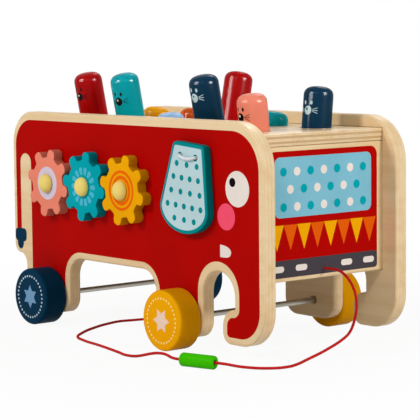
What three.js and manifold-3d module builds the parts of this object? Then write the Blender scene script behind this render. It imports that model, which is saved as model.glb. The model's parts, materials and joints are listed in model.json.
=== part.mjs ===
// Pull-along elephant pounding toy in painted wood.
// Two elephant side panels carry a deck with two rows of pegs. Each pair of pegs across the deck
// stands on one see-saw, so a peg that is hammered down lifts its partner. Three meshed gears turn
// on one side, the ears flap, and two pairs of wheels turn on steel axles.
// Millimetres. +X is forward, +Y is the elephant's left, +Z is up, and the floor is at z = 0.

import * as THREE from 'three';
import { mergeVertices } from 'three/addons/utils/BufferGeometryUtils.js';
import Module from 'manifold-3d';

const wasm = await Module();
wasm.setup();

const rad = THREE.MathUtils.degToRad;

// Clearances
const seatGap = 0.3;
const axleGap = 0.75;
const gearGap = 0.4;
const rockerGap = 0.3;

// Wheels and axles
const wheelDiameter = 48;
const wheelWidth = 21.5;
const wheelEdge = 2.4;
const wheelSides = 24;
const wheelToPanel = 0.8;
const axleDiameter = 4.5;
const axleSeatDepth = 16;
const axleAboveFoot = 14.4;
const axleFromLegCentre = 5.5;

// Side panels, with lengths from the trunk back to the tail and heights above the feet
const bodyWidth = 151;
const panelThickness = 12;
const panelHeight = 170.6;
const panelEdge = 1.8;
const trunkWidth = 35;
const trunkGap = 37.5;
const frontLegWidth = 59.5;
const bellySpan = 118.5;
const rearLegWidth = 64.5;
const tailOverhang = 17.5;
const frontTopRadius = 36.5;
const rearTopRadius = 28;
const trunkFrontRadius = 28;
const trunkTipReach = 14.5;
const trunkTipHeight = 27;
const trunkTipTopRadius = 13;
const trunkTipBottomRadius = 9;
const trunkCurlRadius = 1.5;
const trunkArchHeight = 55;
const bellyHeight = 48.2;
const bellyRadius = 17;
const legRadius = 14;
const tailHeight = 46.5;
const tailRadius = 8;

// Deck and end panels, let into grooves in the side panels
const grooveDepth = 4;
const endRecess = 15.6;
const deckBelowTop = 9.8;
const deckThickness = 9.8;
const endPanelThickness = 9;
const endPanelBottom = 47.5;

// Pegs: heights are from the deck to the top of the peg, measured along the peg
const columnPitch = 52;
const columnsOffset = 3.25;
const rowSpacing = 65;
const pegDiameter = 24;
const pegLength = 72;
const pegDome = 8.5;
const pegDomePower = 2.7;
const pegHole = 27.2;
const raisedHeight = 44;
const loweredHeight = 11.5;
const levelRightHeight = 29.5;
const levelLeftHeight = 33;
const raisedLean = 11;
const loweredLean = 7;
const levelLean = 5.5;
const stopPinDiameter = 5;
const stopPinLength = 34;

// See-saws on one long rod under the deck
const rodDiameter = 8;
const rodBelowDeck = 11.8;
const rodSeatDepth = 5;
const rockerWidth = 24;
const rockerLength = 88;
const rockerPlate = 8;
const rockerStem = 14;
const rockerHubDiameter = 17;
const rockerFillet = 4;
const spacerDiameter = 14;

// Gears
const gearTeeth = 8;
const gearCentres = 52;
const gearTip = 58.2;
const gearThickness = 9;
const gearPressureAngle = 25;
const gearBacklash = 1.4;
const gearRootClearance = 1;
const gearHeight = 111.3;
const gearPhase = 31.5;
const gearPinDiameter = 8;
const gearPinSeatDepth = 8;
const gearCapDiameter = 16;
const gearCapHeight = 6.2;

// Ears, hung on a stitch of cord through two holes
const earFromFront = 79;
const earBelowTop = 17.8;
const earTilt = 4.5;
const earThickness = 7;
const earEdge = 0.8;
const earTopWidth = 37;
const earTopRadius = 4;
const earFrontFlare = 26.5;
const earRearFlare = 32.5;
const earFlareDepth = 51;
const earLength = 71;
const earHoleSpacing = 18.6;
const earHoleDepth = 10.3;
const earHoleDiameter = 3.6;
const earCordDiameter = 2.6;
const earStitchDroop = 1.6;

// Pull cord
const cordDiameter = 2.2;
const cordHoleDiameter = 4;
const cordHoleAboveBottom = 7;
const knotDiameter = 8;
const knotLength = 7;
const beadDiameter = 10.4;
const beadLength = 30;
const beadBore = 3.8;
const beadRightEnd = [158.1, -117.3];
const beadHeading = 196;

// Sizes that follow from the ones above
const panelLength = trunkWidth + trunkGap + frontLegWidth + bellySpan + rearLegWidth + tailOverhang;
const frontX = panelLength / 2;
const rearX = -frontX;
const wheelRadius = wheelDiameter / 2;
const bodyZ = wheelRadius - axleAboveFoot;
const outerY = bodyWidth / 2;
const innerY = outerY - panelThickness;
const trunkBackX = frontX - trunkWidth;
const frontLegFrontX = trunkBackX - trunkGap;
const frontLegRearX = frontLegFrontX - frontLegWidth;
const rearLegFrontX = frontLegRearX - bellySpan;
const rearLegRearX = rearLegFrontX - rearLegWidth;
const frontAxleX = (frontLegFrontX + frontLegRearX) / 2 + axleFromLegCentre;
const rearAxleX = (rearLegFrontX + rearLegRearX) / 2 + axleFromLegCentre;
const deckFrontX = frontX - endRecess;
const deckLength = panelLength - 2 * endRecess;
const deckTop = panelHeight - deckBelowTop;
const earHeight = panelHeight - earBelowTop;
const deckBottom = deckTop - deckThickness;
const deckMiddle = deckTop - deckThickness / 2;
const endPanelInnerX = deckFrontX - endPanelThickness;
const endPanelTop = deckBottom - seatGap;
const cordHoleZ = endPanelBottom + cordHoleAboveBottom;
const pegRadius = pegDiameter / 2;
const pegFootLength = pegLength - pegRadius;
const rodZ = deckBottom - rodBelowDeck;
const gearBackY = outerY + seatGap * 2;
const gearFrontY = gearBackY + gearThickness;
const earBackY = outerY + seatGap * 2;

const colours = {
  wood: 0xe2cda2,
  red: 0xb00d0a,
  pegRed: 0x9c0a0c,
  teal: 0x0a9aa8,
  navy: 0x0d3350,
  pink: 0xe98878,
  yellow: 0xf0b010,
  orange: 0xd5500f,
  lightBlue: 0x9cc4ee,
  cream: 0xece39a,
  green: 0x32b814,
  cordRed: 0xb02328,
  white: 0xf2f2f0,
  steel: 0x8c8f90,
};

// Pairs of pegs from the rear of the deck to its front
const columns = [
  { raised: 'right', right: colours.pegRed, left: colours.yellow },
  { raised: 'right', right: colours.teal, left: colours.orange },
  { raised: 'left', right: colours.lightBlue, left: colours.pegRed },
  { raised: 'right', right: colours.navy, left: colours.teal },
  { raised: 'none', right: colours.pink, left: colours.navy },
];

const sides = [
  { name: 'right', sign: -1 },
  { name: 'left', sign: 1 },
];

// Axes that turn a drawing in the XY plane so that it is drawn in XZ or YZ
const drawnInXZ = new THREE.Matrix4().makeBasis(
  new THREE.Vector3(1, 0, 0), new THREE.Vector3(0, 0, 1), new THREE.Vector3(0, -1, 0));
const drawnInYZ = new THREE.Matrix4().makeBasis(
  new THREE.Vector3(0, 1, 0), new THREE.Vector3(0, 0, 1), new THREE.Vector3(1, 0, 0));

function toSolid(geometry) {
  const bare = geometry.index ? geometry.toNonIndexed() : geometry.clone();
  bare.deleteAttribute('normal');
  bare.deleteAttribute('uv');
  const merged = mergeVertices(bare, 1e-4);
  const corners = [];
  for (let i = 0; i < merged.index.count; i += 3) {
    const [a, b, c] = [0, 1, 2].map((k) => merged.index.getX(i + k));
    if (a !== b && b !== c && c !== a) corners.push(a, b, c);
  }
  return new wasm.Manifold(new wasm.Mesh({
    numProp: 3,
    vertProperties: new Float32Array(merged.attributes.position.array),
    triVerts: new Uint32Array(corners),
  }));
}

function toGeometry(solid) {
  const mesh = solid.getMesh();
  const geometry = new THREE.BufferGeometry();
  geometry.setAttribute('position', new THREE.BufferAttribute(mesh.vertProperties, 3));
  geometry.setIndex(new THREE.BufferAttribute(mesh.triVerts, 1));
  return geometry;
}

function cut(geometry, tools) {
  const solid = tools.reduce((rest, tool) => rest.subtract(toSolid(tool)), toSolid(geometry));
  return toGeometry(solid);
}

function piece(name, geometry, color, roughness = 0.4, metalness = 0) {
  const mesh = new THREE.Mesh(geometry, new THREE.MeshStandardMaterial({ color, roughness, metalness }));
  mesh.name = name;
  return mesh;
}

function box(lowX, highX, lowY, highY, lowZ, highZ) {
  const geometry = new THREE.BoxGeometry(highX - lowX, highY - lowY, highZ - lowZ);
  return geometry.translate((lowX + highX) / 2, (lowY + highY) / 2, (lowZ + highZ) / 2);
}

// Cylinders along X and Y, centred on the given point
function barAlongX(radius, length, x, y, z, segments = 16) {
  return barAlongY(radius, length, 0, 0, 0, segments).rotateZ(-Math.PI / 2).translate(x, y, z);
}

function barAlongY(radius, length, x, y, z, segments = 16) {
  return new THREE.CylinderGeometry(radius, radius, length, segments).translate(x, y, z);
}

function lathe(points, segments) {
  return new THREE.LatheGeometry(points.map(([r, h]) => new THREE.Vector2(r, h)), segments);
}

// Points of an ellipse from the angle start to the angle end; a power above 2 squares its corner
function arcPoints(centreR, centreH, radiusR, radiusH, start, end, steps, power = 2) {
  const points = [];
  for (let i = 0; i <= steps; i += 1) {
    const angle = rad(start + ((end - start) * i) / steps);
    const [along, up] = [Math.cos(angle), Math.sin(angle)].map(
      (value) => Math.sign(value) * Math.abs(value) ** (2 / power));
    points.push([centreR + radiusR * along, centreH + radiusH * up]);
  }
  return points;
}

// Round hole in a drawing
function roundHole(x, y, radius, segments) {
  const circle = new THREE.EllipseCurve(x, y, radius, radius, 0, 2 * Math.PI);
  return new THREE.Path(circle.getPoints(segments).slice(1));
}

function tube(diameter, sidesCount, points, steps) {
  const section = new THREE.Shape();
  for (let i = 0; i < sidesCount; i += 1) {
    const angle = ((i + 0.5) / sidesCount) * 2 * Math.PI;
    const method = i === 0 ? 'moveTo' : 'lineTo';
    section[method]((diameter / 2) * Math.cos(angle), (diameter / 2) * Math.sin(angle));
  }
  const places = points.map((point) => new THREE.Vector3(...point));
  const extrudePath = new THREE.CatmullRomCurve3(places, false, 'centripetal');
  return new THREE.ExtrudeGeometry(section, { steps, extrudePath, bevelEnabled: false });
}

// Side panel: the elephant's outline, drawn from the tail over the back to the trunk and the legs
function elephantOutline() {
  const right = Math.PI / 2;
  const shape = new THREE.Shape();
  shape.moveTo(rearX, tailHeight + tailRadius);
  shape.lineTo(rearX, panelHeight - rearTopRadius);
  shape.absarc(rearX + rearTopRadius, panelHeight - rearTopRadius, rearTopRadius, 2 * right, right, true);
  shape.absarc(frontX - frontTopRadius, panelHeight - frontTopRadius, frontTopRadius, right, 0, true);
  shape.absarc(frontX - trunkFrontRadius, trunkFrontRadius, trunkFrontRadius, 0, -right, true);
  const tipX = trunkBackX - trunkTipReach;
  const [tipTop, tipBottom, curl] = [trunkTipTopRadius, trunkTipBottomRadius, trunkCurlRadius];
  shape.absarc(tipX + tipBottom, tipBottom, tipBottom, -right, -2 * right, true);
  shape.absarc(tipX + tipTop, trunkTipHeight - tipTop, tipTop, 2 * right, right, true);
  shape.absarc(trunkBackX - curl, trunkTipHeight + curl, curl, -right, 0, false);
  const archRadius = trunkGap / 2;
  shape.absarc(trunkBackX - archRadius, trunkArchHeight - archRadius, archRadius, 0, 2 * right, false);
  shape.absarc(frontLegFrontX - legRadius, legRadius, legRadius, 0, -right, true);
  shape.absarc(frontLegRearX + legRadius, legRadius, legRadius, -right, -2 * right, true);
  const bellyZ = bellyHeight - bellyRadius;
  shape.absarc(frontLegRearX - bellyRadius, bellyZ, bellyRadius, 0, right, false);
  shape.absarc(rearLegFrontX + bellyRadius, bellyZ, bellyRadius, right, 2 * right, false);
  shape.absarc(rearLegFrontX - legRadius, legRadius, legRadius, 0, -right, true);
  shape.absarc(rearLegRearX + legRadius, legRadius, legRadius, -right, -2 * right, true);
  const stepRadius = tailOverhang - tailRadius;
  shape.absarc(rearLegRearX - stepRadius, tailHeight - stepRadius, stepRadius, 0, right, false);
  shape.absarc(rearX + tailRadius, tailHeight + tailRadius, tailRadius, -right, -2 * right, true);
  return shape;
}

function sidePanel(side, pinHoles) {
  const geometry = new THREE.ExtrudeGeometry(elephantOutline(), {
    depth: panelThickness - 2 * panelEdge,
    curveSegments: 3,
    bevelThickness: panelEdge,
    bevelSize: panelEdge,
    bevelOffset: -panelEdge,
    bevelSegments: 1,
  });
  geometry.applyMatrix4(drawnInXZ).translate(0, side.sign * (innerY + panelThickness / 2), 0);
  geometry.translate(0, panelThickness / 2 - panelEdge, 0);
  const floorY = side.sign * (innerY + grooveDepth);
  const mouthY = side.sign * (innerY - panelThickness);
  const groove = (lowX, highX, lowZ, highZ) => box(
    lowX - seatGap, highX + seatGap, Math.min(floorY, mouthY), Math.max(floorY, mouthY),
    lowZ - seatGap, highZ + seatGap);
  const throughY = side.sign * (outerY - panelThickness / 2);
  const holes = [frontAxleX, rearAxleX].map((x) => barAlongY(
    axleDiameter / 2 + axleGap, panelThickness * 2, x, throughY, axleAboveFoot));
  const earHoles = earHolePoints().map(([x, z]) => barAlongY(
    earHoleDiameter / 2, panelThickness * 2, x, throughY, z, 10));
  return cut(geometry, [
    groove(-deckFrontX, deckFrontX, deckBottom, deckTop),
    groove(endPanelInnerX, deckFrontX, endPanelBottom, endPanelTop),
    groove(-deckFrontX, -endPanelInnerX, endPanelBottom, endPanelTop),
    ...holes,
    ...earHoles,
    ...pinHoles,
  ]);
}

// Deck with a hole for each peg
function deck() {
  const halfWidth = innerY + grooveDepth - seatGap;
  const shape = new THREE.Shape();
  shape.moveTo(-deckFrontX, -halfWidth);
  shape.lineTo(deckFrontX, -halfWidth);
  shape.lineTo(deckFrontX, halfWidth);
  shape.lineTo(-deckFrontX, halfWidth);
  columns.forEach((column, index) => sides.forEach((side) => {
    shape.holes.push(roundHole(columnX(index), (side.sign * rowSpacing) / 2, pegHole / 2, 20));
  }));
  const geometry = new THREE.ExtrudeGeometry(shape, { depth: deckThickness, bevelEnabled: false });
  return geometry.translate(0, 0, deckBottom);
}

// End panel with the blind hole for the see-saw rod, and the cord hole in the front one
function endPanel(sign) {
  const [lowX, highX] = [sign * endPanelInnerX, sign * deckFrontX].sort((a, b) => a - b);
  const halfWidth = innerY + grooveDepth - seatGap;
  const rodEnd = sign * (endPanelInnerX + rodSeatDepth + seatGap);
  const rodHoleX = rodEnd - (sign * endPanelThickness) / 2;
  const rodHole = barAlongX(rodDiameter / 2 + seatGap, endPanelThickness, rodHoleX, 0, rodZ);
  const cordHole = barAlongX(cordHoleDiameter / 2, endPanelThickness * 2, deckFrontX, 0, cordHoleZ, 12);
  const panel = box(lowX, highX, -halfWidth, halfWidth, endPanelBottom, endPanelTop);
  return cut(panel, sign > 0 ? [rodHole, cordHole] : [rodHole]);
}

// Pegs
function columnX(index) {
  return columnsOffset + (index - (columns.length - 1) / 2) * columnPitch;
}

// How far the middle of the deck lies below the top of a peg, along the peg
function pegTopAboveDeckMiddle(height, lean) {
  return height + deckThickness / 2 / Math.cos(rad(lean));
}

const stopPinFromTop = raisedHeight
  + (deckThickness + stopPinDiameter / 2 + seatGap) / Math.cos(rad(raisedLean));

function peg() {
  const foot = arcPoints(0, pegRadius, pegRadius, pegRadius, -90, 0, 3);
  const dome = arcPoints(0, pegLength - pegDome, pegRadius, pegDome, 0, 90, 4, pegDomePower);
  const body = lathe([...foot, ...dome], 16).rotateX(Math.PI / 2);
  return cut(body, [barAlongX(
    stopPinDiameter / 2 + seatGap, pegDiameter * 2, 0, 0, pegLength - stopPinFromTop, 10)]);
}

const raisedPose = { height: raisedHeight, lean: raisedLean };
const loweredPose = { height: loweredHeight, lean: loweredLean };
const levelPoses = {
  right: { height: levelRightHeight, lean: levelLean },
  left: { height: levelLeftHeight, lean: levelLean },
};

function pegPose(column, side) {
  if (column.raised === 'none') return levelPoses[side.name];
  return column.raised === side.name ? raisedPose : loweredPose;
}

// Centre of the round foot of a peg, in Y and Z
function footCentre(sign, { height, lean }) {
  const below = pegFootLength - pegTopAboveDeckMiddle(height, lean);
  const y = rowSpacing / 2 - below * Math.sin(rad(lean));
  return { y: sign * y, z: deckMiddle - below * Math.cos(rad(lean)) };
}

// Tilt of a see-saw that carries two feet, and how far its rod lies above the line through them
function seesaw(rightPose, leftPose) {
  const right = footCentre(-1, rightPose);
  const left = footCentre(1, leftPose);
  const slope = (left.z - right.z) / (left.y - right.y);
  const tilt = Math.atan(slope);
  const lineAtRod = right.z - slope * right.y;
  return { tilt, drop: (rodZ - lineAtRod) * Math.cos(tilt) };
}

const knockedDownPose = { height: loweredHeight, lean: raisedLean };
const liftedPose = { height: raisedHeight, lean: loweredLean };

// How far the line through two feet can lie below the rod, for a tilted pair and the level one
const tiltedDrop = Math.max(
  seesaw(raisedPose, loweredPose).drop, seesaw(knockedDownPose, liftedPose).drop);
const levelDrop = seesaw(levelPoses.right, levelPoses.left).drop;

// See-saw with its plate just below the feet
function rocker(feetDrop) {
  const drop = feetDrop + pegRadius + rockerGap;
  const half = rockerLength / 2;
  const end = rockerPlate / 2;
  const stem = rockerStem / 2;
  const hub = rockerHubDiameter / 2;
  const hubStart = -Math.acos(stem / hub);
  const shape = new THREE.Shape();
  shape.absarc(half - end, -drop - end, end, -Math.PI / 2, Math.PI / 2, false);
  shape.absarc(stem + rockerFillet, rockerFillet - drop, rockerFillet, -Math.PI / 2, -Math.PI, true);
  shape.absarc(0, 0, hub, hubStart, Math.PI - hubStart, false);
  shape.absarc(-stem - rockerFillet, rockerFillet - drop, rockerFillet, 0, -Math.PI / 2, true);
  shape.absarc(end - half, -drop - end, end, Math.PI / 2, (3 * Math.PI) / 2, false);
  shape.holes.push(roundHole(0, 0, rodDiameter / 2 + seatGap, 16));
  const geometry = new THREE.ExtrudeGeometry(shape, {
    depth: rockerWidth,
    curveSegments: 3,
    bevelEnabled: false,
  });
  return geometry.translate(0, 0, -rockerWidth / 2).applyMatrix4(drawnInYZ);
}

// Tube on the rod that keeps two see-saws, or a see-saw and an end panel, apart
function spacer(fromX, toX) {
  const low = fromX + seatGap;
  const high = toX - seatGap;
  const outer = spacerDiameter / 2;
  const inner = rodDiameter / 2 + seatGap;
  const ring = [[inner, low], [outer, low], [outer, high], [inner, high], [inner, low]];
  return lathe(ring, 12).rotateZ(-Math.PI / 2);
}

// Wheel with rounded edges and a blind hole for the axle, drawn with its inner face at height zero
function wheel() {
  const rim = wheelRadius / Math.cos(Math.PI / wheelSides);
  const bore = axleDiameter / 2 + seatGap;
  return lathe([
    [0, -wheelWidth],
    ...arcPoints(rim - wheelEdge, wheelEdge - wheelWidth, wheelEdge, wheelEdge, -90, 0, 1),
    ...arcPoints(rim - wheelEdge, -wheelEdge, wheelEdge, wheelEdge, 0, 90, 1),
    [bore, 0],
    [bore, -axleSeatDepth],
    [0, -axleSeatDepth],
  ], wheelSides);
}

// Gear with involute flanks, rounded tips and rounded roots
function gearOutline() {
  const pitch = gearCentres / 2;
  const base = pitch * Math.cos(rad(gearPressureAngle));
  const tip = gearTip / 2;
  const root = gearCentres - tip - gearRootClearance;
  const involute = (angle) => Math.tan(angle) - angle;
  const halfAtPitch = Math.PI / (2 * gearTeeth) - gearBacklash / 4 / pitch;
  const halfAtBase = halfAtPitch + involute(rad(gearPressureAngle));
  const halfAngle = (r) => halfAtBase - involute(Math.acos(Math.min(1, base / r)));
  const flankEnd = (pitch + tip) / 2;
  const flank = [base, pitch, flankEnd];
  const at = (r, angle) => [r * Math.cos(angle), r * Math.sin(angle)];
  const shape = new THREE.Shape();
  shape.moveTo(...at(root, -Math.PI / gearTeeth));
  for (let tooth = 0; tooth < gearTeeth; tooth += 1) {
    const middle = (tooth * 2 * Math.PI) / gearTeeth;
    const rising = (r) => at(r, middle - halfAngle(r));
    const falling = (r) => at(r, middle + halfAngle(r));
    shape.quadraticCurveTo(...rising(root), ...rising(base));
    flank.slice(1).forEach((r) => shape.lineTo(...rising(r)));
    shape.quadraticCurveTo(...rising(tip), ...at(tip, middle));
    shape.quadraticCurveTo(...falling(tip), ...falling(flankEnd));
    flank.slice(0, -1).reverse().forEach((r) => shape.lineTo(...falling(r)));
    shape.quadraticCurveTo(...falling(root), ...at(root, middle + Math.PI / gearTeeth));
  }
  return shape;
}

function gear(phase) {
  const shape = gearOutline();
  shape.holes.push(roundHole(0, 0, gearPinDiameter / 2 + gearGap, 16));
  const geometry = new THREE.ExtrudeGeometry(shape, {
    depth: gearThickness,
    curveSegments: 3,
    bevelEnabled: false,
  });
  return geometry.rotateZ(rad(phase)).applyMatrix4(drawnInXZ);
}

// Mushroom-headed pin that holds a gear on the panel, drawn with its foot at height zero
function gearPin() {
  const shank = gearPinDiameter / 2;
  const cap = gearCapDiameter / 2;
  const neck = gearPinSeatDepth + gearFrontY - outerY + gearGap;
  return lathe([
    [0, 0],
    [shank, 0],
    [shank, neck],
    ...arcPoints(0, neck, cap, gearCapHeight, 0, 90, 4),
  ], 16);
}

// Ear, drawn with the middle of its top edge at the origin
function earOutline() {
  const half = earTopWidth / 2;
  const middle = (earFrontFlare - earRearFlare) / 2;
  const bulge = (earFrontFlare + earRearFlare) / 2;
  const shape = new THREE.Shape();
  shape.moveTo(earTopRadius - half, 0);
  shape.quadraticCurveTo(-half, 0, -half - earTopRadius * 0.3, -earTopRadius);
  shape.lineTo(-earRearFlare, -earFlareDepth);
  shape.absellipse(middle, -earFlareDepth, bulge, earLength - earFlareDepth, Math.PI, 2 * Math.PI, false);
  shape.lineTo(half + earTopRadius * 0.15, -earTopRadius);
  shape.quadraticCurveTo(half, 0, half - earTopRadius, 0);
  return shape;
}

function ear() {
  const shape = earOutline();
  [-1, 1].forEach((end) => {
    shape.holes.push(roundHole((end * earHoleSpacing) / 2, -earHoleDepth, earHoleDiameter / 2, 10));
  });
  const geometry = new THREE.ExtrudeGeometry(shape, {
    depth: earThickness - 2 * earEdge,
    curveSegments: 7,
    bevelThickness: earEdge,
    bevelSize: earEdge,
    bevelOffset: -earEdge,
    bevelSegments: 1,
  });
  return geometry.translate(0, 0, earEdge).applyMatrix4(drawnInXZ);
}

// Holes through the panel behind the ear's holes
function earHolePoints() {
  const tilt = rad(-earTilt);
  return [-1, 1].map((end) => {
    const along = (end * earHoleSpacing) / 2;
    const x = frontX - earFromFront + along * Math.cos(tilt) + earHoleDepth * Math.sin(tilt);
    const z = earHeight + along * Math.sin(tilt) - earHoleDepth * Math.cos(tilt);
    return [x, z];
  });
}

// Stitch of cord over a face: legs down two holes and a slack bridge between them, in the ear's
// own drawing, with the face at distance zero, the bridge outside it and the legs behind it
function stitch(legLength, droop) {
  const half = earHoleSpacing / 2;
  const over = earCordDiameter / 2 + seatGap;
  const bend = earCordDiameter;
  const leg = (sign) => [[sign * half, 0, -legLength], [sign * half, 0, -bend]];
  const points = [
    ...leg(-1),
    [-half + bend * 0.25, 0, over * 0.75],
    [-half + bend, -droop * 0.4, over * 1.1],
    [0, -droop, over],
    [half - bend, -droop * 0.4, over * 1.1],
    [half - bend * 0.25, 0, over * 0.75],
    ...leg(1).reverse(),
  ];
  return tube(earCordDiameter, 6, points, 14).translate(0, -earHoleDepth, 0).applyMatrix4(drawnInXZ);
}

// Knot at an end of the pull cord, drawn along X with one face at the origin
function knot() {
  const radius = knotDiameter / 2;
  const flat = cordDiameter / 2;
  return lathe([
    [0, 0],
    [flat, 0],
    ...arcPoints(flat, knotLength / 2, radius - flat, knotLength / 2, -60, 60, 2),
    [flat, knotLength],
    [0, knotLength],
  ], 10).rotateZ(-Math.PI / 2);
}

// Bead threaded on the cord, drawn along X and centred
function bead() {
  const outer = beadDiameter / 2;
  const inner = beadBore / 2;
  const half = beadLength / 2;
  const edge = (outer - inner) / 3;
  return lathe([
    [inner, -half],
    ...arcPoints(outer - edge, edge - half, edge, edge, -90, 0, 2),
    ...arcPoints(outer - edge, half - edge, edge, edge, 0, 90, 2),
    [inner, half],
    [inner, -half],
  ], 14).rotateZ(-Math.PI / 2);
}

// Build the object, with everything but the wheels and cord at heights above the feet
const toy = new THREE.Group();
const body = new THREE.Group();
body.position.z = bodyZ;
toy.add(body);

const gearX = [-1, 0, 1].map((step) => columnX(1) + step * gearCentres);
const pinHoles = gearX.map((x) => barAlongY(
  gearPinDiameter / 2 + seatGap, 2 * (gearPinSeatDepth + seatGap), x, -outerY, gearHeight));

sides.forEach((side) => {
  const geometry = sidePanel(side, side.name === 'right' ? pinHoles : []);
  body.add(piece(`side_panel_${side.name}`, geometry, colours.red));
});
body.add(piece('deck', deck(), colours.wood, 0.55));
body.add(piece('front_panel', endPanel(1), colours.red));
body.add(piece('rear_panel', endPanel(-1), colours.wood, 0.55));

// Pegs with their stop pins, on their see-saws
const pegGeometry = peg();
const stopPinGeometry = barAlongX(stopPinDiameter / 2, stopPinLength, 0, 0, 0, 10);

columns.forEach((column, index) => {
  const place = index + 1;
  sides.forEach((side) => {
    const pose = pegPose(column, side);
    const top = pegTopAboveDeckMiddle(pose.height, pose.lean);
    const holder = new THREE.Group();
    holder.position.set(columnX(index), (side.sign * rowSpacing) / 2, deckMiddle);
    holder.rotation.x = -side.sign * rad(pose.lean);
    const pegMesh = piece(`peg_${side.name}_${place}`, pegGeometry, column[side.name], 0.3);
    pegMesh.position.z = top - pegLength;
    const pinMesh = piece(`stop_pin_${side.name}_${place}`, stopPinGeometry, colours.wood, 0.6);
    pinMesh.position.z = top - stopPinFromTop;
    holder.add(pegMesh, pinMesh);
    body.add(holder);
  });
  const [right, left] = sides.map((side) => pegPose(column, side));
  const rockerGeometry = rocker(column.raised === 'none' ? levelDrop : tiltedDrop);
  const rockerMesh = piece(`seesaw_${place}`, rockerGeometry, colours.wood, 0.6);
  rockerMesh.position.set(columnX(index), 0, rodZ);
  rockerMesh.rotation.x = seesaw(right, left).tilt;
  body.add(rockerMesh);
});

const rodLength = 2 * (endPanelInnerX + rodSeatDepth);
body.add(piece('seesaw_rod', barAlongX(rodDiameter / 2, rodLength, 0, 0, rodZ), colours.wood, 0.6));
const stops = [-endPanelInnerX, ...columns.map((column, index) => columnX(index)), endPanelInnerX];
stops.slice(1).forEach((x, index) => {
  const from = index === 0 ? stops[0] : stops[index] + rockerWidth / 2;
  const to = index === columns.length ? x : x - rockerWidth / 2;
  const mesh = piece(`rod_spacer_${index + 1}`, spacer(from, to), colours.wood, 0.6);
  mesh.position.z = rodZ;
  body.add(mesh);
});

// Gears on the right side, the outer two in mesh with the middle one
const gearColours = [colours.pink, colours.teal, colours.yellow];
const meshedPhase = (3 * 180) / gearTeeth - gearPhase;
gearX.forEach((x, index) => {
  const place = ['rear', 'middle', 'front'][index];
  const gearMesh = piece(`gear_${place}`, gear(index === 1 ? meshedPhase : gearPhase), gearColours[index]);
  gearMesh.position.set(x, -gearBackY, gearHeight);
  const pinMesh = piece(`gear_pin_${place}`, gearPin(), colours.cream);
  pinMesh.rotation.x = Math.PI;
  pinMesh.position.set(x, gearPinSeatDepth - outerY, gearHeight);
  body.add(gearMesh, pinMesh);
});

// Ears with their stitches, and the loops of the same cord inside the panels
sides.forEach((side) => {
  const hanger = new THREE.Group();
  hanger.position.set(frontX - earFromFront, side.sign * earBackY, earHeight);
  hanger.rotation.y = rad(earTilt);
  const earGeometry = ear();
  const frontStitch = stitch(earThickness - seatGap, earStitchDroop).translate(0, -earThickness, 0);
  const backLoop = stitch(panelThickness - seatGap, 0).rotateX(Math.PI);
  backLoop.translate(0, panelThickness + earBackY - outerY, -2 * earHoleDepth);
  if (side.sign > 0) {
    [earGeometry, frontStitch, backLoop].forEach((geometry) => mirrorY(geometry));
  }
  hanger.add(piece(`ear_${side.name}`, earGeometry, colours.teal));
  hanger.add(piece(`ear_stitch_${side.name}`, frontStitch, colours.white, 0.8));
  hanger.add(piece(`ear_loop_${side.name}`, backLoop, colours.white, 0.8));
  body.add(hanger);
});

// Mirror image across the XZ plane, with its triangles turned back to face outwards
function mirrorY(geometry) {
  geometry.scale(1, -1, 1);
  if (!geometry.index) {
    const count = geometry.attributes.position.count;
    geometry.setIndex(Array.from({ length: count }, (unused, i) => i));
  }
  const index = geometry.index;
  for (let i = 0; i < index.count; i += 3) {
    const first = index.getX(i);
    index.setX(i, index.getX(i + 1));
    index.setX(i + 1, first);
  }
}

// Wheels pressed on their axles
const wheelInnerY = outerY + wheelToPanel;
const axleLength = 2 * (wheelInnerY + axleSeatDepth - seatGap);
const wheelSets = [
  { name: 'front', x: frontAxleX, color: colours.yellow },
  { name: 'rear', x: rearAxleX, color: colours.navy },
];
const halfFacet = Math.PI / wheelSides;
wheelSets.forEach((set) => {
  const carrier = new THREE.Group();
  carrier.position.set(set.x, 0, wheelRadius);
  const rod = barAlongY(axleDiameter / 2, axleLength, 0, 0, 0, 12);
  carrier.add(piece(`axle_${set.name}`, rod, colours.steel, 0.35, 0.9));
  sides.forEach((side) => {
    const mesh = piece(`wheel_${set.name}_${side.name}`, wheel(), set.color);
    mesh.position.y = side.sign * wheelInnerY;
    mesh.rotation.set(side.sign > 0 ? Math.PI : 0, halfFacet, 0);
    carrier.add(mesh);
  });
  toy.add(carrier);
});

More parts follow.
